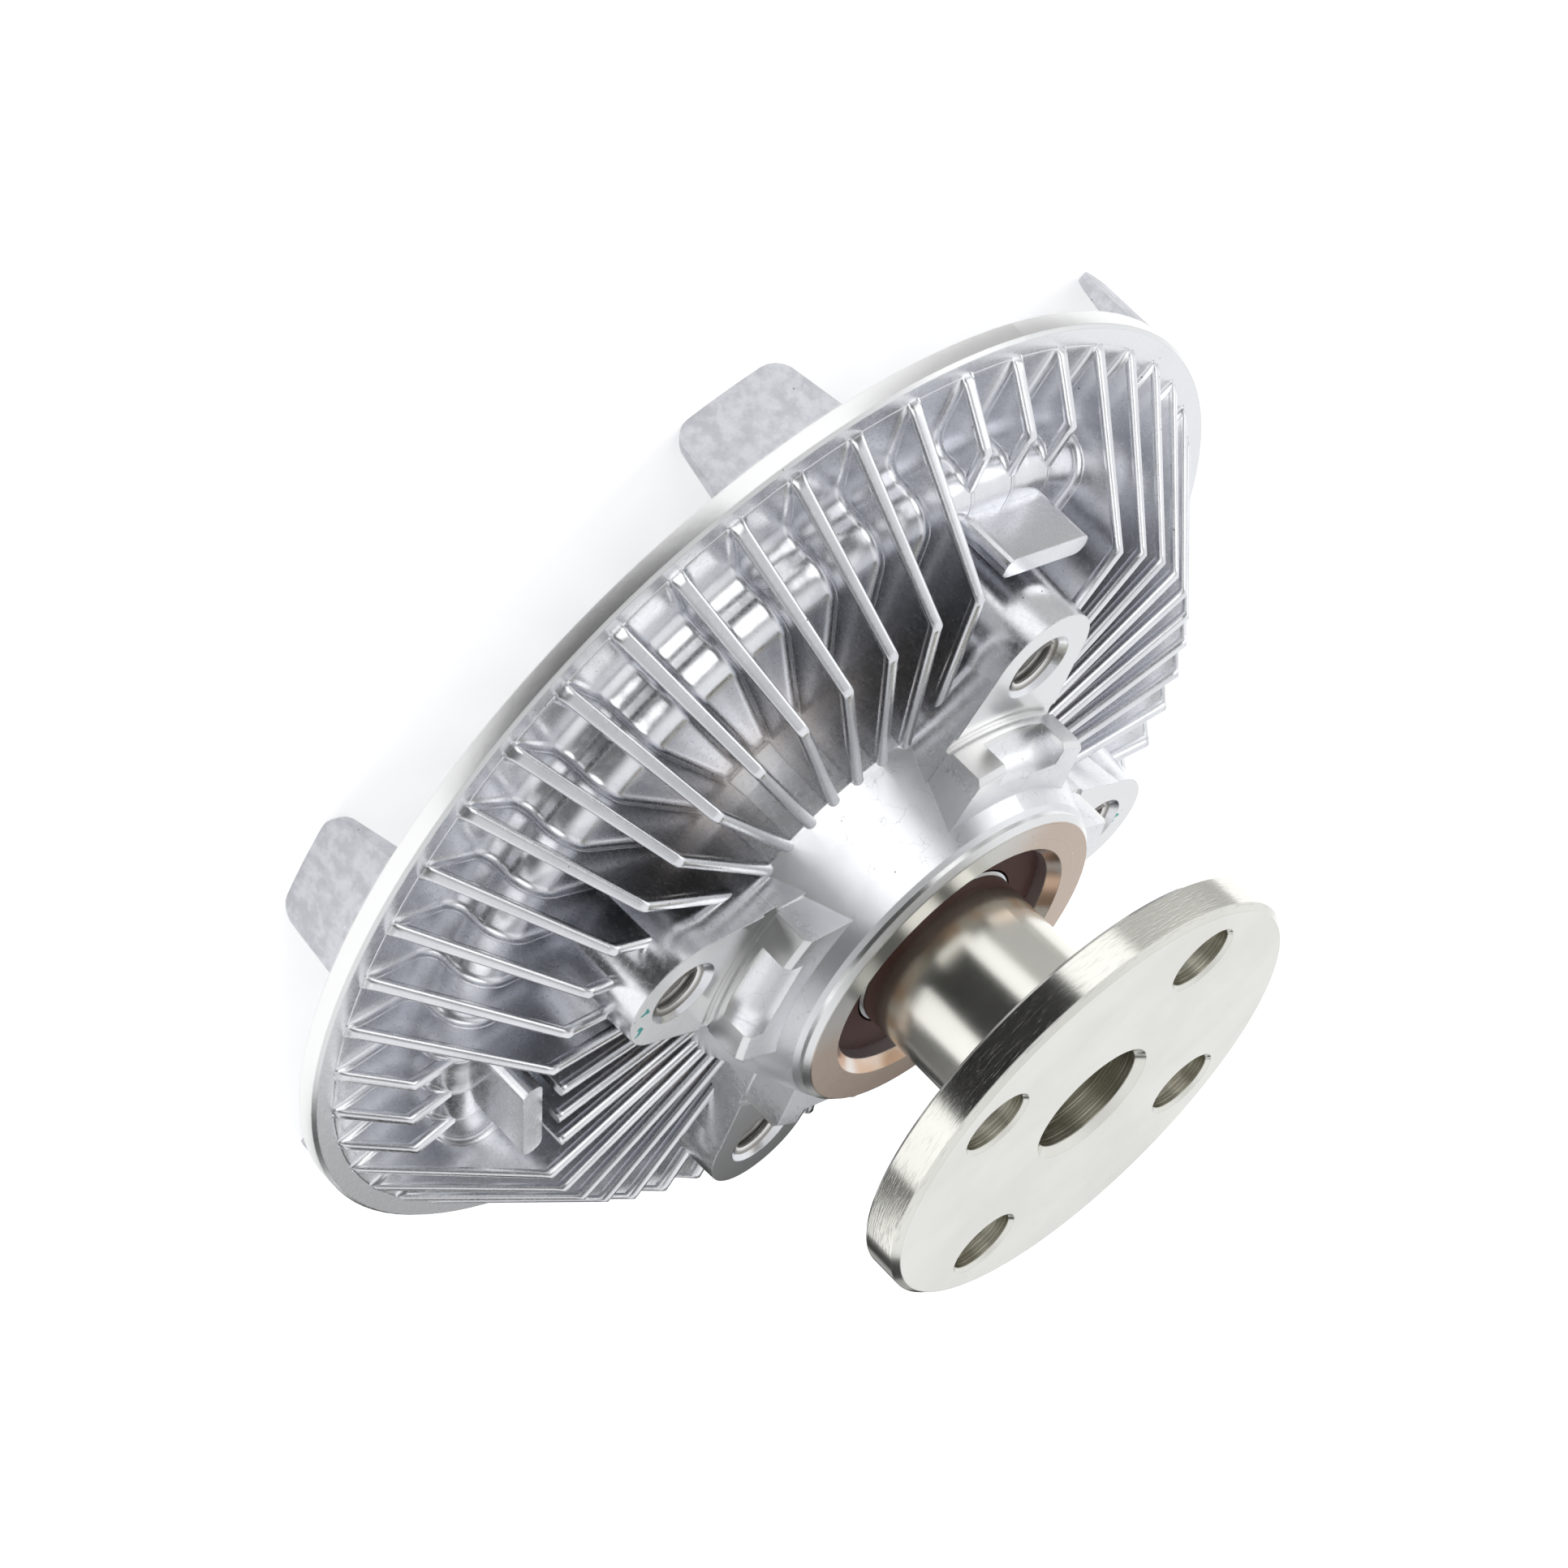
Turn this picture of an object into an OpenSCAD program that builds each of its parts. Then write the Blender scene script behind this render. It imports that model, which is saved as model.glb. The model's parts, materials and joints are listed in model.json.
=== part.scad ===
// Viscous fan clutch: drive shaft with pulley flange, ball bearing, finned rear housing,
// clutch rotor, front cover and the valve that a bimetal coil turns.
// The Z axis is the axis of rotation. The origin is the centre of the flange face that bolts to
// the pulley, +Z points out of that face, and angle 0 runs through the first fan boss.

/* [Pulley flange] */
// Diameter of the flange
flange_d = 64; // [60:0.5:70]
// Thickness of the flange
flange_t = 5.6; // [4.5:0.1:8]
// Edge break round the flange
flange_chamfer = 0.8; // [0.3:0.1:1.5]
// Pilot bore that centres the pulley
pilot_d = 15.9; // [14:0.1:17]
// Depth of the pilot bore
pilot_depth = 20; // [10:0.5:22]
// Edge break of the pilot bore
pilot_chamfer = 1; // [0.3:0.1:1.2]
// Bolt circle of the pulley bolts
pulley_bolt_circle_d = 47; // [44:0.5:49]
// Number of pulley bolts
pulley_bolts = 4; // [3:1:6]
// Clearance holes for the pulley bolts
pulley_hole_d = 9; // [7:0.1:9.5]
// Turn of the pulley bolts from the fan bosses
pulley_turn = -13.5; // [-45:0.5:45]
// Edge break of the pulley holes
hole_chamfer = 0.5; // [0.2:0.1:0.8]
// Diameter of the neck behind the flange
neck_d = 23.7; // [22.5:0.1:25]

/* [Bearing] */
// Bore of the bearing and its journal
bearing_bore_d = 17; // [16:0.5:18]
// Outside diameter of the bearing
bearing_d = 40; // [38:0.5:41]
// Width of the bearing
bearing_w = 12; // [11:0.5:14]
// Diameter of the balls
ball_d = 6.75; // [6:0.05:7]
// Number of balls
ball_count = 8; // [6:1:9]
// Thickness of the bearing seals
seal_t = 1.0; // [0.8:0.1:1.2]

/* [Housing hub] */
// Distance from the flange face to the nose of the housing
nose_drop = 25.5; // [22:0.5:32]
// Diameter of the nose
nose_d = 47; // [46:0.5:50]
// Bore in the lip of the nose
nose_bore_d = 34.4; // [32:0.2:35]
// Thickness of the lip that holds the bearing
nose_lip_t = 3.0; // [2:0.1:4]
// Edge break round the nose
nose_chamfer = 0.8; // [0.4:0.1:1]
// Edge break of the nose bore
nose_bevel = 1.3; // [0.5:0.1:1.6]
// Diameter of the hub where the fins meet it
hub_d = 59; // [56:0.5:61]
// Wall of the drum
wall = 4.0; // [3:0.1:5]

/* [Fan seat] */
// Number of fan bosses
boss_count = 4; // [3:1:4]
// Bolt circle of the fan bolts
fan_bolt_circle_d = 81.4; // [79:0.2:84]
// Diameter of a boss at its pad
boss_d = 16.6; // [15:0.2:18]
// Thread size of the fan bolts
fan_thread_d = 8; // [6:0.5:9]
// Depth of the threaded holes
fan_thread_depth = 14; // [10:0.5:14.5]
// Edge break of the threaded holes
fan_countersink = 0.85; // [0.4:0.05:1.2]
// Distance from the nose down to the fan pads
pad_drop = 10; // [8:0.2:11]
// Diameter of the register that centres the fan
register_d = 63.5; // [62:0.1:65]
// Width of a register block at its outer wall
block_w = 19.4; // [17:0.2:21]
// Widening of a block from its wall to the hub, on each side
block_flare = 1.9; // [0:0.1:3]
// Distance from the nose down to the top of the blocks
block_drop = 4.1; // [3:0.1:5]
// Radius of the scoop cast into each block
scoop_r = 5.2; // [4:0.1:5.5]
// Width of the scoop
scoop_w = 11.6; // [8:0.2:13]

/* [Fins and drum] */
// Number of rear fins
fin_count = 48; // [36:12:60]
// Thickness of a fin at its rounded top
fin_t = 1.5; // [1:0.05:1.8]
// Draft of the fin sides in degrees
fin_draft = 0.7; // [0.2:0.1:1]
// Distance from the nose down to the fin tops
fin_drop = 14.3; // [12.5:0.1:16]
// Diameter at which the fin tops turn down
fin_bend_d = 106.8; // [100:0.5:110]
// Width of the rim outside the fin tips
fin_margin = 2.4; // [1:0.1:4]
// Distance from the nose down to the top of the drum
drum_drop = 24.6; // [23:0.2:27]
// Diameter of the drum at its shoulder
drum_d = 119; // [118:0.5:121]
// Rounding of the drum shoulder
drum_round = 4.2; // [2:0.1:4.6]
// Fillet at the foot of the drum
drum_fillet = 3.2; // [1:0.1:3.6]
// Height of the drum above the rim
drum_h = 8.2; // [8:0.1:10]

/* [Rim and tabs] */
// Diameter of the rim
rim_d = 146.8; // [138:0.2:152]
// Thickness of the rim
rim_t = 2.8; // [2.4:0.1:4]
// Edge break on the rim
rim_chamfer = 0.45; // [0.2:0.05:0.8]
// Number of tabs in front of the rim
tab_count = 6; // [3:1:8]
// Width of a tab at the rim
tab_w = 19; // [14:0.5:24]
// Width of a tab at its tip
tab_tip_w = 17; // [12:0.5:19]
// Length of a tab in front of the rim
tab_l = 9.7; // [9.4:0.1:12]
// Thickness of a tab at the rim
tab_t = 2.6; // [2:0.1:3.2]
// Thickness of a tab at its tip
tab_tip_t = 1.2; // [1:0.1:1.8]
// Rounding of the tab corners
tab_round = 3; // [1:0.2:4]
// Turn of the tabs from the fan bosses
tab_turn = 30; // [0:7.5:60]

/* [Paddles] */
// Number of paddles on the drum
paddle_count = 3; // [2:1:4]
// Outside radius of the paddles
paddle_r = 54.4; // [53:0.1:55]
// Thickness of a paddle
paddle_t = 3; // [2.5:0.1:4]
// Width of a paddle
paddle_w = 16; // [10:0.5:18]
// Height of a paddle above the drum
paddle_h = 8.1; // [4:0.1:9]
// Fins cut short on each side of a paddle
paddle_gap_fins = 1; // [0:1:1]

/* [Clutch chamber] */
// Radius of the clutch chamber
chamber_r = 56; // [54:0.2:56.6]
// Running gap round the rotor
rotor_gap = 0.5; // [0.4:0.05:0.6]
// Thickness of the rotor web
rotor_t = 2.6; // [2:0.1:3]
// Width of a clutch land
land_t = 1.7; // [1.2:0.1:1.8]
// Spacing of the clutch lands
land_pitch = 4.4; // [4.4:0.1:5]
// Clutch lands on the rotor
land_count = 5; // [3:1:5]
// Diameter of the rotor seat on the shaft
rotor_seat_d = 15; // [14:0.2:15.6]
// Thickness of the retaining rings
ring_t = 1.3; // [1:0.1:1.5]

/* [Front cover] */
// Width of the rim outside the cover
rim_margin = 6.4; // [5.4:0.1:7.4]
// Thickness of the cover edge under the rolled lip
cover_edge_t = 1.5; // [1.2:0.1:1.7]
// Depth of the cover seat in the rim
seat_depth = 1.1; // [0.8:0.1:1.2]
// Thickness of the rolled lip
lip_t = 0.9; // [0.6:0.1:1]
// Wall of the cover
cover_wall = 2.2; // [1.8:0.1:2.6]
// Number of cover fins
cover_fin_count = 32; // [24:4:40]
// Thickness of a cover fin
cover_fin_t = 1.6; // [1.2:0.1:2]
// Height of the cover fins above the dome
cover_fin_h = 2.9; // [1.5:0.1:3.4]
// Section diameter of the cover seal
cover_seal_d = 1.6; // [1.2:0.1:1.8]

/* [Valve and coil] */
// Diameter of the valve plate
valve_plate_d = 100; // [96:0.5:104]
// Thickness of the valve plate
valve_plate_t = 0.9; // [0.7:0.1:1.1]
// Depth of the fluid reservoir in the cover
reservoir_h = 2.6; // [2.4:0.1:3]
// Diameter of the feed port in the valve plate
port_d = 7; // [4:0.5:9]
// Radius at which the feed port lies
port_r = 33; // [28:0.5:36]
// Thickness of the valve arm
valve_arm_t = 0.8; // [0.6:0.1:1]
// Diameter of the valve shaft
valve_shaft_d = 5; // [4:0.1:6]
// Thickness of the bimetal strip
coil_t = 0.9; // [0.6:0.1:1.2]
// Width of the bimetal strip
coil_w = 3.2; // [2.5:0.1:3.4]
// Turns of the bimetal coil
coil_turns = 4.5; // [3.5:1:5.5]
// Spacing of the coil turns
coil_pitch = 2.5; // [2:0.1:3]

/* [Hidden] */
$fn = 96;

// Fits
slide = 0.05;
seat_fit = 0.02;
play = 0.3;
cut = 1;

// Heights along the axis, from the flange face down to the tab tips
z_nose = -nose_drop;
z_block = z_nose - block_drop;
z_pad = z_nose - pad_drop;
z_fin = z_nose - fin_drop;
z_drum = z_nose - drum_drop;
z_rim = z_drum - drum_h;
z_rim_front = z_rim - rim_t;
z_tab = z_rim_front - tab_l;
z_bearing_rear = z_nose - nose_lip_t;
z_bearing_front = z_bearing_rear - bearing_w;
z_bearing_mid = (z_bearing_rear + z_bearing_front) / 2;
z_ring_front = z_bearing_front - ring_t;

// Radii of the hub and the fan seat
register_r = register_d / 2;
pad_r = fan_bolt_circle_d / 2;
hub_r = hub_d / 2;
nose_r = nose_d / 2;
nose_land = 1.4;
nose_step = 0.6;
hub_run = 0.8;
hub_spread = 1;
hub_fillet = 2;
hub_foot_r = hub_r + hub_spread;
seat_sink = 1;
z_foot = z_drum - seat_sink;
boss_draft = 0.8;
block_bury = 3.3;
block_root_r = nose_r - block_bury;
scoop_out = 1.6;
scoop_lift = 0.4;
relief_w = 1.4;
relief_depth = 0.35;
wall_chamfer = 0.7;

// Rim and tabs
rim_r = rim_d / 2;
tab_inset = 0.1;
tab_r = rim_r - tab_inset;
tab_steps = 5;

// Drum outline
drum_r = drum_d / 2;
shoulder_steps = 10;
fillet_steps = 8;

// Fins, with the low outer stubs and the inner stops beside a paddle
fin_pitch = 360 / fin_count;
fin_bury = 3;
fin_sink = 1;
fin_root_r = hub_r - fin_bury;
fin_bend_r = fin_bend_d / 2;
fin_tip_r = rim_r - fin_margin;
fin_crown_r = 0.43 * fin_t;
fin_top = [for (a = [0:22.5:90]) fin_crown_r * [1 - cos(a), 1 - sin(a)]];
fin_slope = (fin_tip_r - fin_bend_r) / (z_fin - z_rim);
fin_nose_h = 0.9;
fin_nose_r = fin_tip_r - fin_nose_h * fin_slope;
fin_end_h = 0.25;
fin_end = [[fin_nose_r, z_rim + fin_nose_h], [fin_nose_r + fin_end_h, z_rim + fin_end_h]];
z_fin_foot = z_rim - fin_sink;
paddle_clear = 0.9;
fin_stop_r = paddle_r - paddle_t - paddle_clear;
low_fin_drop = 0.9;
z_low_fin = z_drum - low_fin_drop;
low_fin_r = fin_bend_r + (z_fin - z_low_fin) * fin_slope;
paddle_round = 0.45 * paddle_t;

// Chamber levels, from the drum ceiling to the seat of the cover
z_ceiling = z_drum - wall;
z_seat = z_rim_front + seat_depth;
plate_gap = 0.6;
z_rotor_front = z_seat + plate_gap;
z_web = z_rotor_front + rotor_t;
land_h = z_ceiling - z_web - rotor_gap;
rotor_tip_gap = 0.8;
rotor_r = chamber_r - rotor_tip_gap;
land_sink = 0.2;
seat_r = rotor_seat_d / 2;
rotor_hub_w = 6.5;
rotor_hub_r = seat_r + rotor_hub_w;
rotor_nose_w = 2.4;
rotor_nose_r = bearing_bore_d / 2 + rotor_nose_w;
rotor_ring_gap = 1.2;
z_rotor_nose = z_bearing_front - ring_t - rotor_ring_gap;
rotor_recess_w = 3.5;
rotor_recess_r = seat_r + rotor_recess_w;
rotor_recess_h = 4.4;
z_recess = z_rotor_front + rotor_recess_h;
shaft_tail = 1.5;
shaft_chamfer = 0.6;
z_shaft_end = z_recess - ring_t - shaft_tail;
ring_bite = 1.2;
ring_over = 2.2;
ring_groove_r = seat_r - ring_bite;
rotor_hole_count = 6;
rotor_hole_r = 2.5;
rotor_hole_in = 13.2;
rotor_hole_circle_r = rotor_hub_r + rotor_hole_in;
neck_fillet = 1;

// Bearing radii
pitch_r = (bearing_bore_d + bearing_d) / 4;
ball_r = ball_d / 2;
race_share = 0.62;
race_step = race_share * ball_r;
inner_race_r = pitch_r - race_step;
outer_race_r = pitch_r + race_step;
seal_bite = 0.9;
seal_seat_r = outer_race_r + seal_bite;
groove_r = ball_r + slide;
cage_r = 1.3;
cage_rim = 1.1;
cage_h = ball_d + 2 * cage_rim;
snap_bite = 1.2;
snap_cover = 1.6;
snap_step = 1;
snap_r = bearing_d / 2 + snap_bite;
snap_open = 40;
hub_cavity_w = 0.5;

// Cover levels and radii
cover_r = rim_r - rim_margin;
z_cover_edge = z_seat - cover_edge_t;
z_lip = z_cover_edge - lip_t;
z_flange_front = z_seat - cover_wall;
z_plate = z_seat - valve_plate_t;
z_reservoir = z_plate - reservoir_h;
z_dome = z_reservoir - cover_wall;
plate_r = valve_plate_d / 2;
ledge_w = 6;
reservoir_r = plate_r - ledge_w;
dome_r = reservoir_r + cover_wall;
dome_slope = 3.5;
lip_over = 1.6;
lip_w = 1.6;
lip_chamfer = 0.55;
cover_step_r = cover_r - lip_over - play;
cover_step_chamfer = 0.6;
seal_room = 0.6;
seal_land = 0.9;
seal_groove_w = cover_seal_d + seal_room;
seal_groove_r = chamber_r + seal_land + seal_groove_w / 2;
rivet_count = 4;
rivet_turn = 45;
rivet_r = 1.2;
rivet_head_r = 2.1;
rivet_l = 1.8;
rivet_bottom = 0.2;
rivet_circle_r = plate_r - ledge_w / 2;

// Valve and coil levels
valve_r = valve_shaft_d / 2;
z_arm_rear = z_plate - play;
z_arm_front = z_arm_rear - valve_arm_t;
valve_boss_wall = 2.6;
valve_boss_h = 1;
valve_boss_r = valve_r + valve_boss_wall;
z_valve_boss_rear = z_reservoir + valve_boss_h;
z_valve_boss_front = z_dome - play;
arm_hub_w = 3;
arm_neck_w = 1;
arm_pad_w = 1.5;
clip_t = 0.4;
clip_bite = 0.6;
clip_over = 1.4;
clip_gap = 0.2;
clip_open = 100;
clip_groove_r = valve_r - clip_bite;
z_clip = z_valve_boss_front - clip_gap;
z_coil = z_clip - clip_t - play;
z_coil_front = z_coil - coil_w;
valve_seal_d = 0.8;
valve_seal_room = 0.1;
slot_room = 0.2;
z_valve_seal = (z_valve_boss_rear + z_valve_boss_front) / 2;
coil_core = 1.4;
coil_r0 = valve_r + coil_core;
coil_end_r = coil_r0 + coil_pitch * coil_turns;
coil_points_per_turn = 20;
anchor_reach = 3.5;
anchor_r = coil_end_r + anchor_reach;
anchor_t = 1;
anchor_w = 8;
anchor_screw_r = 1.5;
anchor_screw_head_r = 2.7;
anchor_screw_head_h = 1.6;
anchor_screw_skin = 0.6;
anchor_screw_depth = cover_wall - anchor_screw_skin;
screw_chamfer = 0.5;
screw_slot_w = 0.7;
screw_slot_h = 0.8;
anchor_post_w = 5;
anchor_foot = 4.2;
z_anchor = z_dome - anchor_t;
anchor_screw_x = anchor_r + anchor_foot;

// Cover fins
cover_fin_clear = 2.6;
cover_fin_in_r = anchor_screw_x + anchor_screw_head_r + cover_fin_clear;
cover_fin_inset = 1.5;
cover_fin_end_r = cover_step_r - cover_fin_inset;
cover_fin_rise = 1.5;
cover_fin_end_h = 0.8;
cover_fin_sink = 0.4;

// Points of an arc about [cx, cy] from angle a0 to a1
function arc(cx, cy, r, a0, a1, steps) =
    [for (i = [0:steps]) let (a = a0 + (a1 - a0) * i / steps) [cx + r * cos(a), cy + r * sin(a)]];

// Outline of a rectangle with rounded corners, centred on the origin
function rounded(w, h, r, steps = 4) = concat(
    arc(w / 2 - r, h / 2 - r, r, 0, 90, steps),
    arc(r - w / 2, h / 2 - r, r, 90, 180, steps),
    arc(r - w / 2, r - h / 2, r, 180, 270, steps),
    arc(w / 2 - r, r - h / 2, r, 270, 360, steps));

// Solid of revolution about the axis
module turned(points) rotate_extrude() polygon(points);

// Ring of rectangular section
module ring(r_in, r_out, z_low, z_high)
    turned([[r_in, z_low], [r_out, z_low], [r_out, z_high], [r_in, z_high]]);

// Child repeated round the axis
module around(count, turn = 0)
    for (i = [0:count - 1]) rotate(turn + 360 * i / count) children();

// Upright plate that lies along the radius, from an outline of radius and height
module radial_plate(t, points)
    rotate([90, 0, 0]) translate([0, 0, -t / 2]) linear_extrude(t) polygon(points);

// Cast fin: a drafted section with a rounded top, swept through points of radius and height
module fin(path, z_foot) {
    rows = len(path);
    n = 2 * len(fin_top) + 2;
    points = [for (p = path) each fin_section(p[0], p[1], z_foot)];
    sides = [for (row = [0:rows - 2], i = [0:n - 1])
        [row * n + i, row * n + (i + 1) % n, (row + 1) * n + (i + 1) % n, (row + 1) * n + i]];
    start = [for (i = [0:n - 1]) n - 1 - i];
    end = [for (i = [0:n - 1]) (rows - 1) * n + i];
    polyhedron(points, concat([start, end], sides), convexity = 4);
}

// Half thickness of a fin at height z, which grows downwards with the draft
function fin_half(z) = fin_t / 2 + (z_fin - z) * tan(fin_draft);

// Section of a fin at radius r, from its foot over its rounded top and back
function fin_section(r, z, z_foot) = let (half = fin_half(z), n = len(fin_top)) concat(
    [[r, -fin_half(z_foot), z_foot]],
    [for (i = [0:n - 1]) [r, fin_top[i][0] - half, z - fin_top[i][1]]],
    [for (i = [1:n]) [r, half - fin_top[n - i][0], z - fin_top[n - i][1]]],
    [[r, fin_half(z_foot), z_foot]]);

module drive_shaft() color("#c9c8bc") difference() {
    turned([
        [0, 0], [flange_d / 2 - flange_chamfer, 0], [flange_d / 2, -flange_chamfer],
        [flange_d / 2, flange_chamfer / 2 - flange_t], [flange_d / 2 - flange_chamfer / 2, -flange_t],
        [neck_d / 2 + neck_fillet, -flange_t], [neck_d / 2, -flange_t - neck_fillet],
        [neck_d / 2, z_bearing_rear],
        [bearing_bore_d / 2, z_bearing_rear], [bearing_bore_d / 2, z_bearing_front],
        [seat_r, z_bearing_front], [seat_r, z_recess], [ring_groove_r, z_recess],
        [ring_groove_r, z_recess - ring_t], [seat_r, z_recess - ring_t],
        [seat_r, z_shaft_end + shaft_chamfer], [seat_r - shaft_chamfer, z_shaft_end], [0, z_shaft_end]]);
    flange_hole(pilot_d / 2, pilot_depth, pilot_chamfer);
    around(pulley_bolts, pulley_turn) translate([pulley_bolt_circle_d / 2, 0, 0]) {
        flange_hole(pulley_hole_d / 2, flange_t + cut, hole_chamfer);
        translate([0, 0, -flange_t]) mirror([0, 0, 1]) hole_mouth(pulley_hole_d / 2, hole_chamfer);
    }
}

// Drilled hole from the flange face with a broken edge at its mouth
module flange_hole(r, depth, chamfer) {
    translate([0, 0, -depth]) cylinder(r = r, h = depth + cut);
    hole_mouth(r, chamfer);
}

module hole_mouth(r, chamfer) translate([0, 0, -chamfer])
    cylinder(r1 = r, r2 = r + chamfer + cut, h = chamfer + cut);

module bearing_inner_race() color("#b9bcc0") difference() {
    ring(bearing_bore_d / 2 + seat_fit, inner_race_r, z_bearing_front, z_bearing_rear);
    ball_track();
}

module bearing_outer_race() color("#b9bcc0") difference() {
    ring(outer_race_r, bearing_d / 2 - seat_fit, z_bearing_front, z_bearing_rear);
    ball_track();
    ring(outer_race_r - cut, seal_seat_r, z_bearing_rear - seal_t, z_bearing_rear + cut);
    ring(outer_race_r - cut, seal_seat_r, z_bearing_front - cut, z_bearing_front + seal_t);
}

module ball_track()
    translate([0, 0, z_bearing_mid]) rotate_extrude() translate([pitch_r, 0]) circle(groove_r);

module bearing_balls() color("#d8dadd")
    around(ball_count) translate([pitch_r, 0, z_bearing_mid]) sphere(ball_r);

module bearing_cage() color("#8f8468") difference() {
    ring(pitch_r - cage_r, pitch_r + cage_r, z_bearing_mid - cage_h / 2, z_bearing_mid + cage_h / 2);
    around(ball_count) translate([pitch_r - ball_d, 0, z_bearing_mid]) rotate([0, 90, 0])
        cylinder(r = ball_r + slide, h = 2 * ball_d);
}

module bearing_seal(z_low) ring(inner_race_r + play, seal_seat_r - seat_fit, z_low, z_low + seal_t);

module bearing_rear_seal() color("#5a2a1e") bearing_seal(z_bearing_rear - seal_t);

module bearing_front_seal() color("#5a2a1e") bearing_seal(z_bearing_front);

// Open ring: a flat ring with a sector left out
module open_ring(r_in, r_out, z_low, z_high, open) translate([0, 0, z_low])
    linear_extrude(z_high - z_low) difference() {
        circle(r_out);
        circle(r_in);
        polygon(2 * r_out * [[0, 0], [cos(open / 2), -sin(open / 2)], [cos(open / 2), sin(open / 2)]]);
    }

module bearing_snap_ring() color("#4a4a4c")
    open_ring(bearing_d / 2 - snap_cover, snap_r - seat_fit, z_ring_front, z_bearing_front, snap_open);

module rotor_snap_ring() color("#4a4a4c")
    open_ring(ring_groove_r + seat_fit, seat_r + ring_over, z_recess - ring_t, z_recess, snap_open);

module rear_housing() color("#c4c6ca") difference() {
    union() {
        housing_body();
        housing_fins();
        around(boss_count) fan_boss();
        around(paddle_count) paddle();
        around(tab_count, tab_turn) tab();
    }
    housing_cavity();
    around(boss_count) fan_thread_hole();
    relief_groove();
}

// Angle from a to the nearest of count places round the axis
function off_nearest(a, count) = abs((a + 180 / count) % (360 / count) - 180 / count);

module housing_fins() for (i = [0:fin_count - 1]) {
    a = i * fin_pitch;
    cut_short = off_nearest(a, paddle_count) < (paddle_gap_fins + 0.5) * fin_pitch;
    at_boss = off_nearest(a, boss_count) < 1.5 * fin_pitch;
    rotate(a) if (cut_short) {
        fin([[fin_root_r, z_fin], [at_boss ? pad_r : fin_stop_r, z_fin]], z_fin_foot);
        fin(concat([[drum_r - drum_round, z_low_fin], [low_fin_r, z_low_fin]], fin_end), z_fin_foot);
    } else {
        fin(concat([[fin_root_r, z_fin], [fin_bend_r, z_fin]], fin_end), z_fin_foot);
    }
}

// Steps of one housing land, from its inner foot to its outer foot
function housing_land(r) = [
    [r - land_t / 2, z_ceiling], [r - land_t / 2, z_web + rotor_gap],
    [r + land_t / 2, z_web + rotor_gap], [r + land_t / 2, z_ceiling]];

module housing_body() turned(concat(
    [[0, z_nose], [nose_r - nose_chamfer, z_nose], [nose_r, z_nose - nose_chamfer],
     [nose_r, z_nose - nose_land], [nose_r + nose_step, z_nose - nose_land - nose_step],
     [hub_r, z_fin - hub_run], [hub_foot_r, z_drum + hub_fillet], [hub_foot_r + hub_fillet, z_drum]],
    arc(drum_r - drum_round, z_drum - drum_round, drum_round, 90, 0, shoulder_steps),
    arc(drum_r + drum_fillet, z_rim + drum_fillet, drum_fillet, 180, 270, fillet_steps),
    [[rim_r - rim_chamfer, z_rim], [rim_r, z_rim - rim_chamfer], [rim_r, z_rim_front],
     [cover_r + lip_w, z_rim_front], [cover_r + lip_w, z_lip + lip_chamfer],
     [cover_r + lip_w - lip_chamfer, z_lip], [0, z_lip]]));

// Bearing bore, clutch chamber with its lands, seal groove and the seat under the rolled lip
module housing_cavity() turned(concat(
    [[0, z_nose + cut], [nose_bore_d / 2 + nose_bevel + cut, z_nose + cut],
     [nose_bore_d / 2, z_nose - nose_bevel], [nose_bore_d / 2, z_bearing_rear],
     [bearing_d / 2, z_bearing_rear], [bearing_d / 2, z_bearing_front], [snap_r, z_bearing_front],
     [snap_r, z_ring_front], [bearing_d / 2 + snap_step, z_ring_front], [hub_r + hub_cavity_w, z_ceiling]],
    [for (i = [land_count - 2:-1:0]) each housing_land(rotor_r - land_t / 2 - (i + 0.5) * land_pitch)],
    [[chamber_r, z_ceiling], [chamber_r, z_seat], [seal_groove_r - seal_groove_w / 2, z_seat],
     [seal_groove_r - seal_groove_w / 2, z_seat + cover_seal_d],
     [seal_groove_r + seal_groove_w / 2, z_seat + cover_seal_d],
     [seal_groove_r + seal_groove_w / 2, z_seat], [cover_r + seat_fit, z_seat],
     [cover_r + seat_fit, z_cover_edge], [cover_r - lip_over, z_cover_edge],
     [cover_r - lip_over, z_lip - cut], [0, z_lip - cut]]));

module fan_boss() {
    column();
    register_block();
}

module column() translate([pad_r, 0, z_foot])
    cylinder(r1 = boss_d / 2 + boss_draft, r2 = boss_d / 2, h = z_pad - z_foot);

module register_block() {
    half = block_w / 2;
    translate([0, 0, z_foot]) linear_extrude(z_pad - z_foot) polygon([
        [nose_r, half + block_flare], [register_r, half], [pad_r, boss_d / 2],
        [pad_r, -boss_d / 2], [register_r, -half], [nose_r, -half - block_flare]]);
    difference() {
        intersection() {
            translate([0, 0, z_foot]) linear_extrude(z_block - z_foot) polygon([
                [block_root_r, half + block_flare], [register_r + cut, half],
                [register_r + cut, -half], [block_root_r, -half - block_flare]]);
            turned([[0, z_foot], [register_r, z_foot], [register_r, z_block - wall_chamfer],
                    [register_r - wall_chamfer, z_block], [0, z_block]]);
        }
        translate([register_r + scoop_out, 0, z_block + scoop_lift]) rotate([90, 0, 0])
            cylinder(r = scoop_r, h = scoop_w, center = true);
    }
}

module fan_thread_hole() translate([pad_r, 0, z_pad]) {
    translate([0, 0, -fan_thread_depth]) cylinder(d = fan_thread_d, h = fan_thread_depth + cut);
    translate([0, 0, -fan_countersink]) cylinder(
        r1 = fan_thread_d / 2, r2 = fan_thread_d / 2 + fan_countersink + cut, h = fan_countersink + cut);
}

module relief_groove()
    ring(register_r - relief_depth, register_r + relief_w, z_pad - relief_depth, z_pad + relief_depth);

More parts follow.
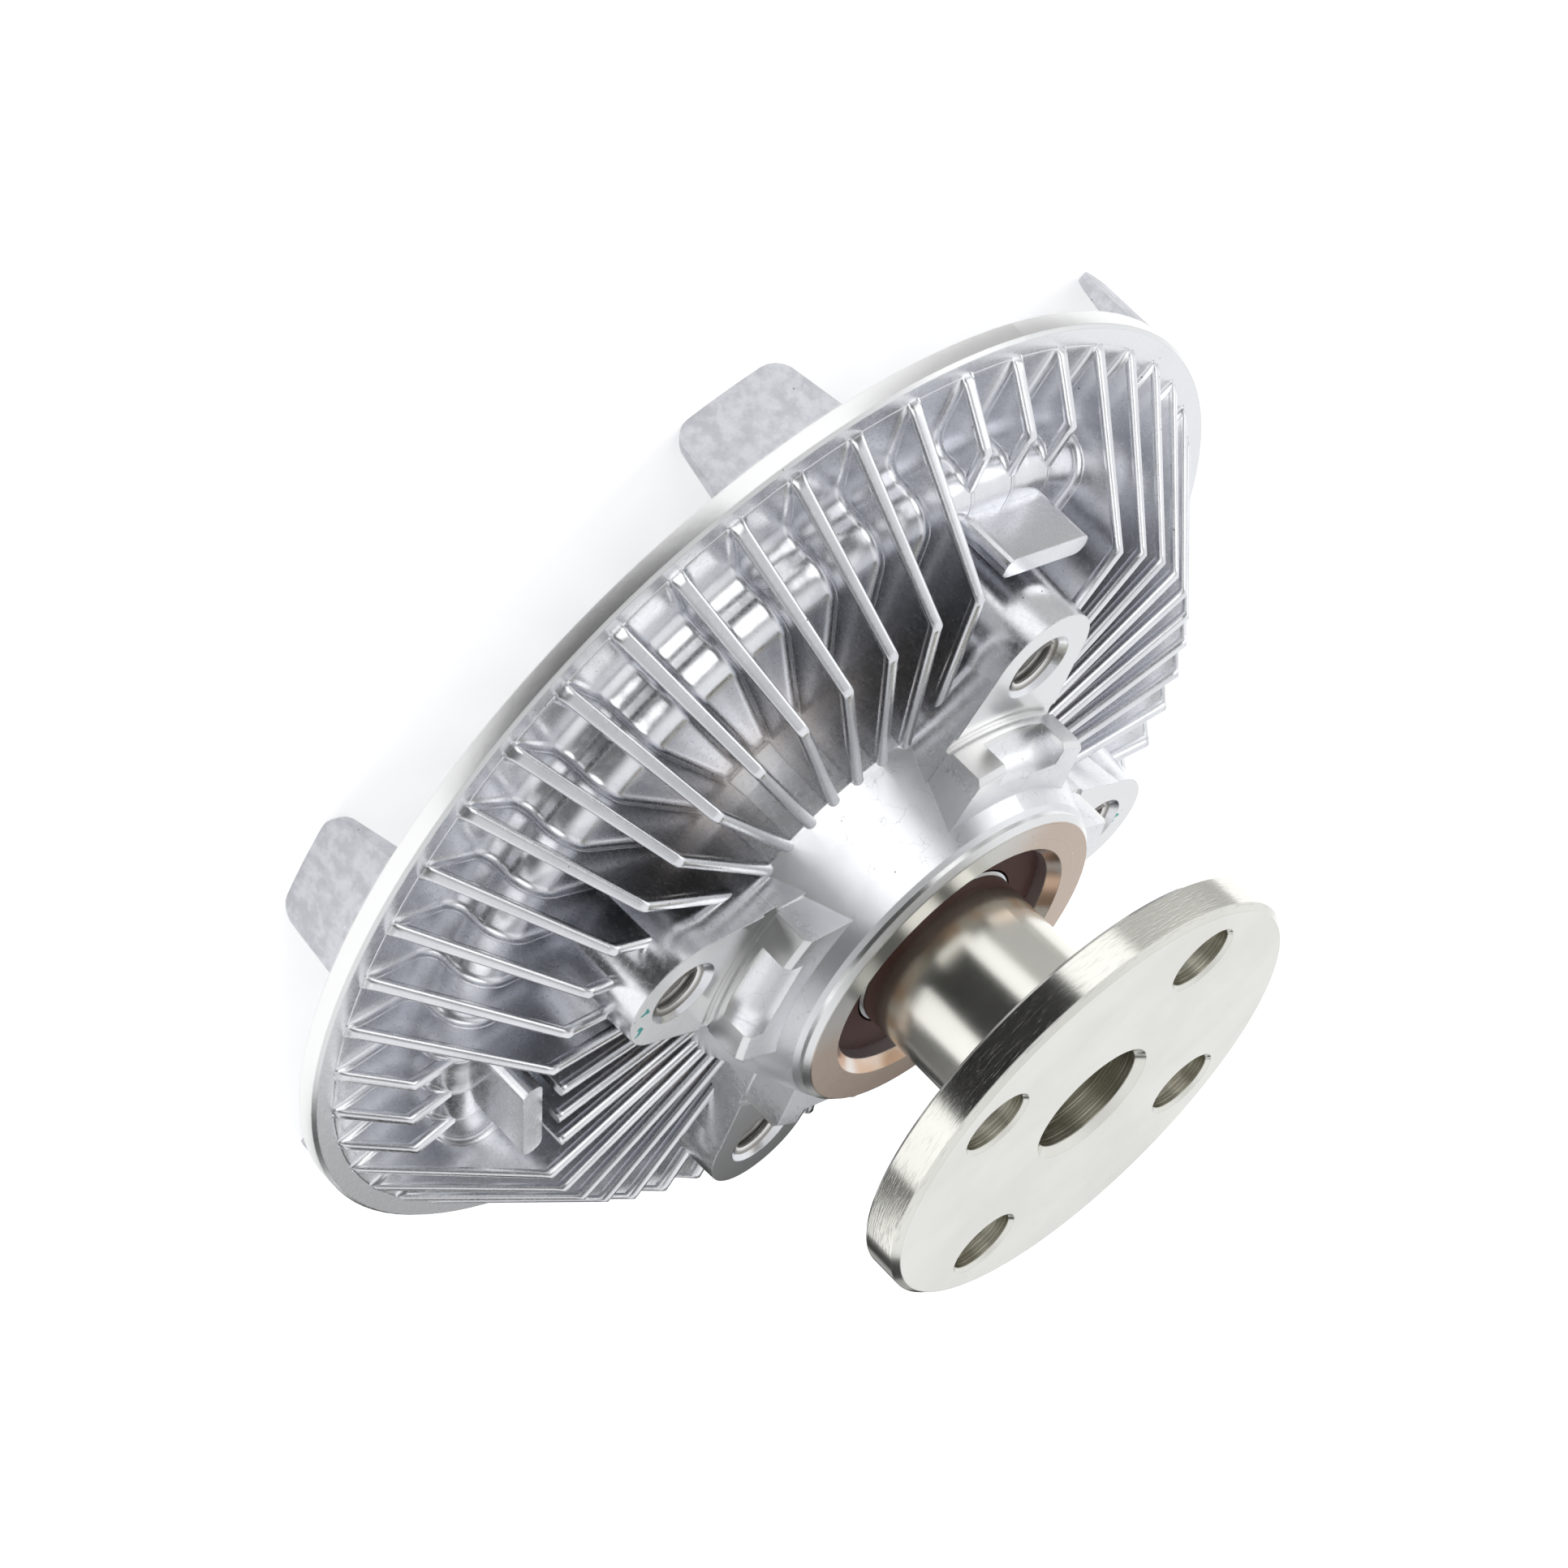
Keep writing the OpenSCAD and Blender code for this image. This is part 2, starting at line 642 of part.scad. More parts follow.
module paddle() translate([paddle_r - paddle_t / 2, 0, z_foot])
    linear_extrude(z_drum + paddle_h - z_foot) polygon(rounded(paddle_t, paddle_w, paddle_round));

module tab() {
    root = z_rim + (z_rim_front - z_rim) / 2;
    outline = concat(
        [[tab_w / 2, root], [tab_w / 2, z_rim_front]],
        arc(tab_tip_w / 2 - tab_round, z_tab + tab_round, tab_round, 0, -90, tab_steps),
        arc(tab_round - tab_tip_w / 2, z_tab + tab_round, tab_round, -90, -180, tab_steps),
        [[-tab_w / 2, z_rim_front], [-tab_w / 2, root]]);
    intersection() {
        rotate([90, 0, 90]) linear_extrude(rim_d) polygon(outline);
        turned([[tab_r - tab_t, root], [tab_r, root], [tab_r, z_tab],
                [tab_r - tab_tip_t, z_tab], [tab_r - tab_t, z_rim_front]]);
    }
}

module rotor() color("#b4b6b8") difference() {
    union() {
        turned([
            [seat_r + seat_fit, z_bearing_front], [rotor_nose_r, z_bearing_front],
            [rotor_nose_r, z_rotor_nose], [rotor_hub_r, z_rotor_nose], [rotor_hub_r, z_web],
            [rotor_r, z_web], [rotor_r, z_rotor_front], [rotor_recess_r, z_rotor_front],
            [rotor_recess_r, z_recess], [seat_r + seat_fit, z_recess]]);
        for (i = [0:land_count - 1]) rotor_land(rotor_r - i * land_pitch);
    }
    around(rotor_hole_count) translate([rotor_hole_circle_r, 0, z_rotor_front - cut])
        cylinder(r = rotor_hole_r, h = rotor_t + 2 * cut);
}

module rotor_land(r) ring(r - land_t, r, z_web - land_sink, z_web + land_h);

module front_cover() color("#b9bbbf") difference() {
    union() {
        turned([
            [0, z_reservoir], [reservoir_r, z_reservoir], [reservoir_r, z_plate],
            [plate_r + play, z_plate], [plate_r + play, z_seat], [cover_r, z_seat],
            [cover_r, z_cover_edge], [cover_step_r, z_cover_edge],
            [cover_step_r - cover_step_chamfer, z_flange_front], [dome_r + dome_slope, z_flange_front],
            [dome_r, z_dome], [0, z_dome]]);
        ring(0, valve_boss_r, z_valve_boss_front, z_valve_boss_rear);
        around(cover_fin_count, 180 / cover_fin_count) cover_fin();
    }
    translate([0, 0, z_valve_boss_front - cut])
        cylinder(r = valve_r + slide, h = z_valve_boss_rear - z_valve_boss_front + 2 * cut);
    around(rivet_count, rivet_turn) translate([rivet_circle_r, 0, z_plate - rivet_l - rivet_bottom])
        cylinder(r = rivet_r, h = rivet_l + rivet_bottom + cut);
    coil_end() translate([anchor_screw_x, 0, z_dome - cut])
        cylinder(r = anchor_screw_r, h = cut + anchor_screw_depth);
}

module cover_fin() radial_plate(cover_fin_t, [
    [cover_fin_in_r, z_dome + cover_fin_sink], [cover_fin_in_r + cover_fin_rise, z_dome - cover_fin_h],
    [dome_r, z_dome - cover_fin_h], [cover_fin_end_r, z_flange_front - cover_fin_end_h],
    [cover_fin_end_r, z_flange_front + cover_fin_sink],
    [dome_r + dome_slope - cover_fin_sink, z_flange_front + cover_fin_sink],
    [dome_r - cover_fin_sink, z_dome + cover_fin_sink]]);

module cover_seal() color("#202022") translate([0, 0, z_seat + cover_seal_d / 2]) rotate_extrude()
    translate([seal_groove_r, 0]) circle(cover_seal_d / 2 - seat_fit);

module valve_plate() color("#a9a9a6") difference() {
    ring(0, plate_r, z_plate, z_seat);
    translate([port_r, 0, z_plate - cut]) cylinder(d = port_d, h = valve_plate_t + 2 * cut);
    around(rivet_count, rivet_turn) rivet(seat_fit);
}

module rivet(grow) translate([rivet_circle_r, 0, z_plate - rivet_l]) {
    cylinder(r = rivet_r - seat_fit, h = rivet_l + valve_plate_t);
    translate([0, 0, rivet_l]) cylinder(r1 = rivet_r, r2 = rivet_head_r + grow, h = valve_plate_t);
}

module valve_plate_rivets() color("#c8c8c8") around(rivet_count, rivet_turn) rivet(0);

module valve_arm() color("#8d8f92") difference() {
    pad = port_d / 2 + arm_pad_w;
    translate([0, 0, z_arm_front]) union() {
        cylinder(r = valve_r + arm_hub_w, h = valve_arm_t);
        linear_extrude(valve_arm_t) polygon([
            [arm_neck_w, valve_r + arm_neck_w], [port_r - pad, pad], [port_r + pad, pad],
            [port_r + pad, -pad], [port_r - pad, -pad], [arm_neck_w, -valve_r - arm_neck_w]]);
    }
    translate([0, 0, z_arm_front - cut]) cylinder(r = valve_r + seat_fit, h = valve_arm_t + 2 * cut);
}

module valve_shaft() color("#b0b2b5") difference() {
    groove = valve_seal_d / 2 + valve_seal_room;
    groove_foot = valve_r - valve_seal_d + slide;
    turned([
        [0, z_arm_rear], [valve_r, z_arm_rear], [valve_r, z_valve_seal + groove],
        [groove_foot, z_valve_seal + groove], [groove_foot, z_valve_seal - groove],
        [valve_r, z_valve_seal - groove], [valve_r, z_clip], [clip_groove_r, z_clip],
        [clip_groove_r, z_clip - clip_t], [valve_r, z_clip - clip_t], [valve_r, z_coil_front],
        [0, z_coil_front]]);
    translate([0, 0, z_coil_front - cut]) linear_extrude(coil_w + play + cut)
        square([2 * valve_r + cut, coil_t + slot_room], center = true);
}

module valve_shaft_seal() color("#202022") translate([0, 0, z_valve_seal]) rotate_extrude()
    translate([valve_r + slide - valve_seal_d / 2, 0]) circle(valve_seal_d / 2 - slide);

module valve_clip() color("#4a4a4c")
    open_ring(clip_groove_r + seat_fit, valve_r + clip_over, z_clip - clip_t, z_clip, clip_open);

module bimetal_coil() color("#b08a5a") translate([0, 0, z_coil_front]) linear_extrude(coil_w) union() {
    translate([-valve_r, -coil_t / 2]) square([valve_r + coil_r0 + coil_t / 2, coil_t]);
    polygon(coil_strip());
    coil_end() translate([coil_end_r - coil_t / 2, -coil_t / 2])
        square([anchor_r + anchor_t - coil_end_r + coil_t / 2, coil_t]);
}

// Frame in which the outer end of the coil lies along the first axis
module coil_end() rotate(360 * coil_turns) children();

function coil_side(side) = [for (i = [0:coil_turns * coil_points_per_turn])
    let (a = 360 * i / coil_points_per_turn, r = coil_r0 + coil_pitch * a / 360 + side * coil_t / 2)
    [r * cos(a), r * sin(a)]];

function coil_strip() = let (inner = coil_side(-1), n = len(inner))
    concat(coil_side(1), [for (i = [1:n]) inner[n - i]]);

module coil_anchor() color("#a7a9ac") coil_end() difference() {
    union() {
        translate([anchor_r, -anchor_w / 2, z_anchor])
            cube([anchor_screw_x + anchor_screw_head_r - anchor_r, anchor_w, anchor_t]);
        translate([anchor_r, -anchor_post_w / 2, z_coil_front])
            cube([anchor_t, anchor_post_w, z_dome - z_coil_front]);
    }
    translate([anchor_r - cut, -coil_t / 2 - slide, z_coil_front - cut])
        cube([anchor_t + 2 * cut, coil_t + 2 * slide, coil_w + cut]);
    translate([anchor_screw_x, 0, z_anchor - cut]) cylinder(r = anchor_screw_r, h = anchor_t + 2 * cut);
}

module coil_anchor_screw() color("#8a8c90") coil_end() translate([anchor_screw_x, 0, z_anchor]) {
    cylinder(r = anchor_screw_r - seat_fit, h = anchor_t + anchor_screw_depth - slide);
    translate([0, 0, -anchor_screw_head_h]) difference() {
        cylinder(r1 = anchor_screw_head_r - screw_chamfer, r2 = anchor_screw_head_r, h = anchor_screw_head_h);
        translate([-anchor_screw_head_r, -screw_slot_w / 2, -cut])
            cube([2 * anchor_screw_head_r, screw_slot_w, cut + screw_slot_h]);
    }
}

drive_shaft();
bearing_inner_race();
bearing_outer_race();
bearing_balls();
bearing_cage();
bearing_rear_seal();
bearing_front_seal();
bearing_snap_ring();
rear_housing();
rotor();
rotor_snap_ring();
front_cover();
cover_seal();
valve_plate();
valve_plate_rivets();
valve_arm();
valve_shaft();
valve_shaft_seal();
valve_clip();
bimetal_coil();
coil_anchor();
coil_anchor_screw();
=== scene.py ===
# Looks of a viscous fan clutch: finishes, fan threads, smooth fins, winding coil, light and camera
import json
import math

import bmesh
import bpy
from mathutils import Matrix, Vector


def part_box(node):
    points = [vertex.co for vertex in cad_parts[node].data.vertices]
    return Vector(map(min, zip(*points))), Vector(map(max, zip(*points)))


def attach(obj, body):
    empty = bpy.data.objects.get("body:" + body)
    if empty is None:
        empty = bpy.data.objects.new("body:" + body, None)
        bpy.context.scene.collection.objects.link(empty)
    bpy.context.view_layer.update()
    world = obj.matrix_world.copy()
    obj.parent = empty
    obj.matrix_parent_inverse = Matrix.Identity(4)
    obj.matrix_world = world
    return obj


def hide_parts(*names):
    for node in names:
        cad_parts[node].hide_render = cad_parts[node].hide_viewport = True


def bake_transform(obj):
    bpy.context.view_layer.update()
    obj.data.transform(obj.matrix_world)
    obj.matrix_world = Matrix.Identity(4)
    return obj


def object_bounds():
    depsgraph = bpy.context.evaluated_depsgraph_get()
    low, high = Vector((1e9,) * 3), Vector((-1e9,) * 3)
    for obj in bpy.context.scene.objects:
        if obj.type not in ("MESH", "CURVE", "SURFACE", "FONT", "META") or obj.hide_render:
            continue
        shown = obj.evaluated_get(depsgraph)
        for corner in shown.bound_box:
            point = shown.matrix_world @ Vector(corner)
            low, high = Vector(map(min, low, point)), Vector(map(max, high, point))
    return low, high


MM = 0.001

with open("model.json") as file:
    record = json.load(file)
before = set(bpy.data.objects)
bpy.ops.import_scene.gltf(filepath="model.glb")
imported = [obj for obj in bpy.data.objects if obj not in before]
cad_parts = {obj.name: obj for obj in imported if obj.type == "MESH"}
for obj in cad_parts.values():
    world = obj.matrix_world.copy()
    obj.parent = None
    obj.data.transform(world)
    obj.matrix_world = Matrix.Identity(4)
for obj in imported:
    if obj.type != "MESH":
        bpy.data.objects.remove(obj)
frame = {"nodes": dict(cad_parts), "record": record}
cad_low, cad_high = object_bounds()
nodes = frame["nodes"]
mounts = {mount["name"]: mount for mount in frame["record"]["mounts"]}

# Levels and radii of the housing in millimetres, read from the frame
housing_low, housing_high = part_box("rear_housing")
NOSE_Z = housing_high.z / MM
FLOOR_Z = housing_low.z / MM
RIM_R = housing_high.x / MM
PAD_Z = mounts["fan_pad"]["pos_m"][2] / MM
BOSS_COUNT = mounts["fan_bolts"]["dims"]["count"]
BOSS_R = mounts["fan_bolts"]["dims"]["pcd_mm"] / 2
THREAD_R = mounts["fan_bolts"]["dims"]["hole_r_mm"]
FLANGE_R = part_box("drive_shaft")[1].x / MM

# Levels and radii that the frame doesn't state
NOSE_BORE_R = 17.2
NOSE_R = 23.5
NOSE_BAND = 1.4
NOSE_BEVEL = 1.3
REGISTER_R = 31.75
WALL_H = 5.9
HUB_R = 30.5
HUB_FOOT_Z = -39.5
DRUM_Z = -50.1
DRUM_R = 59.5
DRUM_ROUND = 4.2
DRUM_FILLET = 3.2
RIM_REAR_Z = -58.3
RIM_FRONT_Z = -61.1
FLANGE_T = 5.6
PILOT_R = 7.95
PILOT_DEPTH = 20
FIN_COUNT = 48
FIN_TOP_Z = -39.8
FIN_HALF = 0.75
FIN_DRAFT = math.tan(math.radians(0.7))
FIN_BEND_R = 53.4
FIN_TIP_R = 71.0
LOW_FIN_Z = -51.0
FIN_STOP_R = 50.5
PADDLE_COUNT = 3
THREAD_DEPTH = 0.6


class Look:
    """One material, with short calls for the nodes that it is made of."""

    def __init__(self, name):
        self.material = bpy.data.materials.new(name)
        self.material.use_nodes = True
        self.tree = self.material.node_tree
        self.tree.nodes.clear()
        self.shader = self.node("ShaderNodeBsdfPrincipled")
        output = self.node("ShaderNodeOutputMaterial")
        self.tree.links.new(self.shader.outputs["BSDF"], output.inputs["Surface"])
        place = self.node("ShaderNodeTexCoord")
        self.point = self.vector("SCALE", place.outputs["Object"], scale=1 / MM)
        self.normal = place.outputs["Normal"]

    def node(self, kind, **settings):
        made = self.tree.nodes.new(kind)
        for key, value in settings.items():
            setattr(made, key, value)
        return made

    def put(self, socket, value):
        if isinstance(value, bpy.types.NodeSocket):
            self.tree.links.new(value, socket)
        else:
            socket.default_value = value

    def set(self, **values):
        for key, value in values.items():
            self.put(self.shader.inputs[key.replace("_", " ")], value)

    def vector(self, operation, a, b=None, scale=None):
        made = self.node("ShaderNodeVectorMath", operation=operation)
        self.put(made.inputs[0], a)
        if b is not None:
            self.put(made.inputs[1], b)
        if scale is not None:
            self.put(made.inputs["Scale"], scale)
        scalar = operation in ("LENGTH", "DOT_PRODUCT", "DISTANCE")
        return made.outputs["Value" if scalar else "Vector"]

    def math(self, operation, a, b=0.0, clamp=False):
        made = self.node("ShaderNodeMath", operation=operation, use_clamp=clamp)
        self.put(made.inputs[0], a)
        self.put(made.inputs[1], b)
        return made.outputs[0]

    def ramp(self, value, start, end, low=0.0, high=1.0):
        made = self.node("ShaderNodeMapRange", interpolation_type="SMOOTHSTEP")
        for socket, number in zip(made.inputs, (value, start, end, low, high)):
            self.put(socket, number)
        return made.outputs[0]

    def band(self, value, low, high, soft):
        rise = self.ramp(value, low - soft, low)
        fall = self.ramp(value, high, high + soft, 1.0, 0.0)
        return self.math("MULTIPLY", rise, fall)

    def mix(self, factor, a, b):
        made = self.node("ShaderNodeMix", data_type="RGBA")
        self.put(made.inputs["Factor"], factor)
        self.put(made.inputs[6], (*a, 1) if isinstance(a, tuple) else a)
        self.put(made.inputs[7], (*b, 1) if isinstance(b, tuple) else b)
        return made.outputs[2]

    def blend(self, factor, a, b):
        made = self.node("ShaderNodeMix", data_type="FLOAT")
        self.put(made.inputs["Factor"], factor)
        self.put(made.inputs[2], a)
        self.put(made.inputs[3], b)
        return made.outputs[0]

    def noise(self, scale, detail=3.0, roughness=0.55, at=None):
        made = self.node("ShaderNodeTexNoise")
        self.put(made.inputs["Vector"], self.point if at is None else at)
        for key, value in (("Scale", scale), ("Detail", detail), ("Roughness", roughness)):
            self.put(made.inputs[key], value)
        return made.outputs["Fac"]

    def cells(self, scale, feature="F1", at=None):
        made = self.node("ShaderNodeTexVoronoi", feature=feature)
        self.put(made.inputs["Vector"], self.point if at is None else at)
        self.put(made.inputs["Scale"], scale)
        return made.outputs["Distance"]

    def axes(self, vector):
        made = self.node("ShaderNodeSeparateXYZ")
        self.put(made.inputs[0], vector)
        return made.outputs

    def radius(self):
        return self.vector("LENGTH", self.vector("MULTIPLY", self.point, (1, 1, 0)))

    def angle_dot(self, degrees):
        turn = math.radians(degrees)
        flat = self.vector("NORMALIZE", self.vector("MULTIPLY", self.point, (1, 1, 0)))
        return self.vector("DOT_PRODUCT", flat, (math.cos(turn), math.sin(turn), 0))

    def all_of(self, *values):
        result = values[0]
        for value in values[1:]:
            result = self.math("MULTIPLY", result, value)
        return result

    def bump(self, height, distance, strength=1.0, under=None):
        made = self.node("ShaderNodeBump")
        self.put(made.inputs["Height"], height)
        self.put(made.inputs["Distance"], distance * MM)
        self.put(made.inputs["Strength"], strength)
        if under is not None:
            self.put(made.inputs["Normal"], under)
        return made.outputs["Normal"]

    def soft_edges(self, radius):
        made = self.node("ShaderNodeBevel", samples=2)
        self.put(made.inputs["Radius"], radius)
        return made.outputs["Normal"]


# Machined faces of the housing: nose, pads, register walls and rim edge
def machined_mask(look, z, r, up):
    nose = look.math("GREATER_THAN", z, NOSE_Z - NOSE_BAND)
    pad_height = look.band(z, PAD_Z - 0.4, PAD_Z + 0.05, 0.05)
    pad = look.all_of(pad_height, look.ramp(up, 0.8, 0.95))
    wall_height = look.band(z, PAD_Z - 0.4, PAD_Z + WALL_H + 0.1, 0.05)
    wall = look.all_of(look.band(r, REGISTER_R - 0.75, REGISTER_R + 0.1, 0.05), wall_height)
    rim_height = look.band(z, RIM_FRONT_Z, RIM_REAR_Z + 0.02, 0.05)
    rim = look.all_of(look.math("GREATER_THAN", r, RIM_R - 0.5), rim_height)
    first = look.math("MAXIMUM", nose, pad)
    second = look.math("MAXIMUM", wall, rim)
    return look.math("MAXIMUM", first, second)


# Scattered small spots: share of the cells that hold one is set by the patch
def spots(look, scale, size, patch_scale, patch_start):
    near = look.ramp(look.cells(scale), size * 0.6, size, 1.0, 0.0)
    patch = look.ramp(look.noise(patch_scale, 2), patch_start, patch_start + 0.08)
    return look.all_of(near, patch)


# Thin crackle lines of the casting skin on the hub
def crackle(look, z, r):
    bend = look.node("ShaderNodeTexNoise")
    look.put(bend.inputs["Vector"], look.point)
    look.put(bend.inputs["Scale"], 0.5)
    shift = look.vector("SCALE", bend.outputs["Color"], scale=3.0)
    edge = look.cells(0.3, "DISTANCE_TO_EDGE", look.vector("ADD", look.point, shift))
    lines = look.ramp(edge, 0.003, 0.012, 1.0, 0.0)
    patch = look.ramp(look.noise(0.12, 2), 0.4, 0.55, 0.0, 0.5)
    between_edges = look.band(r, NOSE_R + 0.7, HUB_R, 0.5)
    hub = look.all_of(between_edges, look.band(z, HUB_FOOT_Z, NOSE_Z - 2.2, 0.5))
    return look.all_of(lines, patch, hub)


# Painted shade in the pockets: on fin sides that lie deep, and on the floor inside the drum's shoulder
def painted_pocket_shade(look, z, r):
    fall = (FIN_TOP_Z - RIM_REAR_Z) / (FIN_TIP_R - FIN_BEND_R)
    past_bend = look.math("MAXIMUM", look.math("SUBTRACT", r, FIN_BEND_R), 0.0)
    fin_top = look.math("SUBTRACT", FIN_TOP_Z, look.math("MULTIPLY", past_bend, fall))
    depth = look.math("SUBTRACT", fin_top, z)
    turned = look.axes(look.vector("CROSS_PRODUCT", look.point, look.normal))["Z"]
    sideways = look.math("ABSOLUTE", look.math("DIVIDE", turned, r))
    side = look.all_of(look.ramp(depth, 0.8, 7), sideways)
    level = look.math("SUBTRACT", 1.0, sideways)
    floor = look.all_of(look.ramp(depth, 0.8, 5), look.ramp(r, 57, 52), level)
    behind_rim = look.ramp(z, RIM_REAR_Z - 0.6, RIM_REAR_Z - 0.2)
    return look.all_of(look.math("MAXIMUM", side, floor), look.ramp(r, 29.5, 34), behind_rim)


# Specks of paint left on two of the fan pads: places in millimetres
PAINT_AT = ((-1.1, 47.3), (-4.7, 45.7), (0.6, -45.7))
PAINT_R = 0.75
PAINT_WANDER = 2.4


def paint_specks(look, z, up):
    wander = look.node("ShaderNodeTexNoise")
    look.put(wander.inputs["Vector"], look.point)
    look.put(wander.inputs["Scale"], 0.9)
    look.put(wander.inputs["Detail"], 0.0)
    centred = look.vector("SUBTRACT", wander.outputs["Color"], (0.5, 0.5, 0.5))
    drift = look.vector("SCALE", centred, scale=PAINT_WANDER)
    flat = look.vector("MULTIPLY", look.vector("ADD", look.point, drift), (1, 1, 0))
    nearest = None
    for x, y in PAINT_AT:
        away = look.vector("DISTANCE", flat, (x, y, 0))
        nearest = away if nearest is None else look.math("MINIMUM", nearest, away)
    speck = look.ramp(nearest, PAINT_R * 0.6, PAINT_R, 1.0, 0.0)
    return look.all_of(speck, look.band(z, PAD_Z - 0.2, PAD_Z + 0.2, 0.1), look.ramp(up, 0.8, 0.95))


# Colours of the casting; a pair runs from pale to dark
CAST = ((0.86, 0.865, 0.885), (0.75, 0.755, 0.78))
POCKET_SHADE = (0.75, 0.76, 0.795)
POCKET_NEAR_HUB = (0.88, 0.84, 0.81)
LEDGE_LIGHT = (0.87, 0.875, 0.89)
TAB = ((0.68, 0.685, 0.72), (0.54, 0.545, 0.575))
MACHINED = ((0.88, 0.88, 0.87), (0.78, 0.78, 0.78))
NOSE_GREY = ((0.66, 0.655, 0.63), (0.55, 0.545, 0.52))
NOSE_WARM_REFLECTION = ((0.58, 0.455, 0.36), (0.48, 0.37, 0.29))
NOSE_GREY_SIDE = 52
BEVEL_WARM_REFLECTION = ((0.74, 0.50, 0.35), (0.88, 0.82, 0.76))
CRACK = (0.42, 0.42, 0.44)
PIT = (0.20, 0.20, 0.21)
PAINTED_GLINT = (0.97, 0.97, 0.97)
PAINT = (0.03, 0.36, 0.33)


# Turned faces of the casting: a bright cut, a nose ring that is grey on one side with a painted warm
# reflection on the rest, and a painted warm reflection on the bevel in the nose bore
def machined_colour(look, z, r):
    marks = look.noise(3.0, 2, at=r)
    bright = look.mix(marks, *MACHINED)
    nose = look.math("GREATER_THAN", z, NOSE_Z - NOSE_BEVEL)
    ring = look.all_of(nose, look.ramp(r, NOSE_R - 0.6, NOSE_R - 0.8))
    # Painted warm reflection on the nose ring, away from its grey side
    warm_reflection = look.ramp(look.angle_dot(NOSE_GREY_SIDE), 0.85, 0.35)
    nose_ring = look.mix(warm_reflection, look.mix(marks, *NOSE_GREY), look.mix(marks, *NOSE_WARM_REFLECTION))
    bright = look.mix(ring, bright, nose_ring)
    bevel_r = NOSE_BORE_R + NOSE_BEVEL
    bevel = look.all_of(nose, look.ramp(r, bevel_r, bevel_r - 0.1))
    # Painted warm reflection on the bevel in the nose bore
    bevel_reflection = look.mix(look.ramp(look.noise(0.13, 1), 0.4, 0.6), *BEVEL_WARM_REFLECTION)
    return look.mix(bevel, bright, bevel_reflection)


# Die-cast aluminium of the housing and the cover
def cast_aluminium(name):
    look = Look(name)
    z = look.axes(look.point)["Z"]
    r = look.radius()
    up = look.axes(look.normal)["Z"]
    grain = look.noise(1.6, 3, 0.6)
    swell = look.noise(0.22, 2)
    cast = look.mix(look.ramp(look.noise(0.09, 4), 0.35, 0.7), *CAST)
    # Painted shade in the pockets, with a warmer tone in the pockets near the hub
    pocket_shade_and_tone = look.mix(look.ramp(r, 46, 32), POCKET_SHADE, POCKET_NEAR_HUB)
    cast = look.mix(painted_pocket_shade(look, z, r), cast, pocket_shade_and_tone)
    # Painted light: the upward face of the rim ledge gets a paler, even tone
    ledge_light = look.all_of(look.ramp(r, 63, 65), look.ramp(up, 0.6, 0.95))
    cast = look.mix(look.math("MULTIPLY", ledge_light, 0.8), cast, LEDGE_LIGHT)
    rough = look.blend(look.ramp(grain, 0.3, 0.75), 0.21, 0.29)
    hub = look.all_of(look.ramp(r, 31, 28), look.ramp(z, -43, -40))
    rough = look.blend(hub, rough, 0.33)
    tab_height = look.ramp(z, RIM_FRONT_Z + 0.2, RIM_FRONT_Z - 0.3)
    tab = look.all_of(tab_height, look.math("GREATER_THAN", r, 69.5))
    mottle = look.noise(0.5, 5, 0.65)
    cast = look.mix(tab, cast, look.mix(look.ramp(mottle, 0.35, 0.65), *TAB))
    rough = look.blend(tab, rough, 0.5)
    machined = machined_mask(look, z, r, up)
    cast = look.mix(machined, cast, machined_colour(look, z, r))
    rough = look.blend(machined, rough, 0.24)
    cast = look.mix(crackle(look, z, r), cast, CRACK)
    cast = look.mix(spots(look, 0.6, 0.09, 0.07, 0.56), cast, PIT)
    # Painted glints: small white spots
    cast = look.mix(spots(look, 0.8, 0.07, 0.12, 0.52), cast, PAINTED_GLINT)
    cast = look.mix(paint_specks(look, z, up), cast, PAINT)
    relief = look.bump(swell, 0.05, 0.3, look.soft_edges(0.2 * MM))
    relief = look.bump(grain, 0.012, 0.25, relief)
    look.set(Base_Color=cast, Metallic=1.0, Roughness=rough, Normal=relief)
    return look.material


THREAD_CREST_HIGHLIGHT = ((0.95, 0.94, 0.92), (0.86, 0.85, 0.83))
THREAD_ROOT_SHADE = (0.36, 0.34, 0.32)


# Cut thread, with a painted highlight on its crests and painted shade at its roots
def thread_aluminium(name):
    look = Look(name)
    parts = look.axes(look.vector("ABSOLUTE", look.point))
    along = look.math("MAXIMUM", parts["X"], parts["Y"])
    across = look.math("MINIMUM", parts["X"], parts["Y"])
    place = look.node("ShaderNodeCombineXYZ")
    look.put(place.inputs[0], look.math("SUBTRACT", along, BOSS_R))
    look.put(place.inputs[1], across)
    depth = look.vector("LENGTH", place.outputs[0])
    tone = look.noise(1.5, 3)
    crest = look.mix(tone, *THREAD_CREST_HIGHLIGHT)
    low, high = THREAD_R - THREAD_DEPTH + 0.08, THREAD_R - 0.12
    # Painted shade at the roots, over the painted highlight of the crests
    colour = look.mix(look.ramp(depth, low, high), crest, THREAD_ROOT_SHADE)
    relief = look.bump(tone, 0.02, 0.4)
    look.set(Base_Color=colour, Metallic=1.0, Roughness=0.42, Normal=relief)
    return look.material


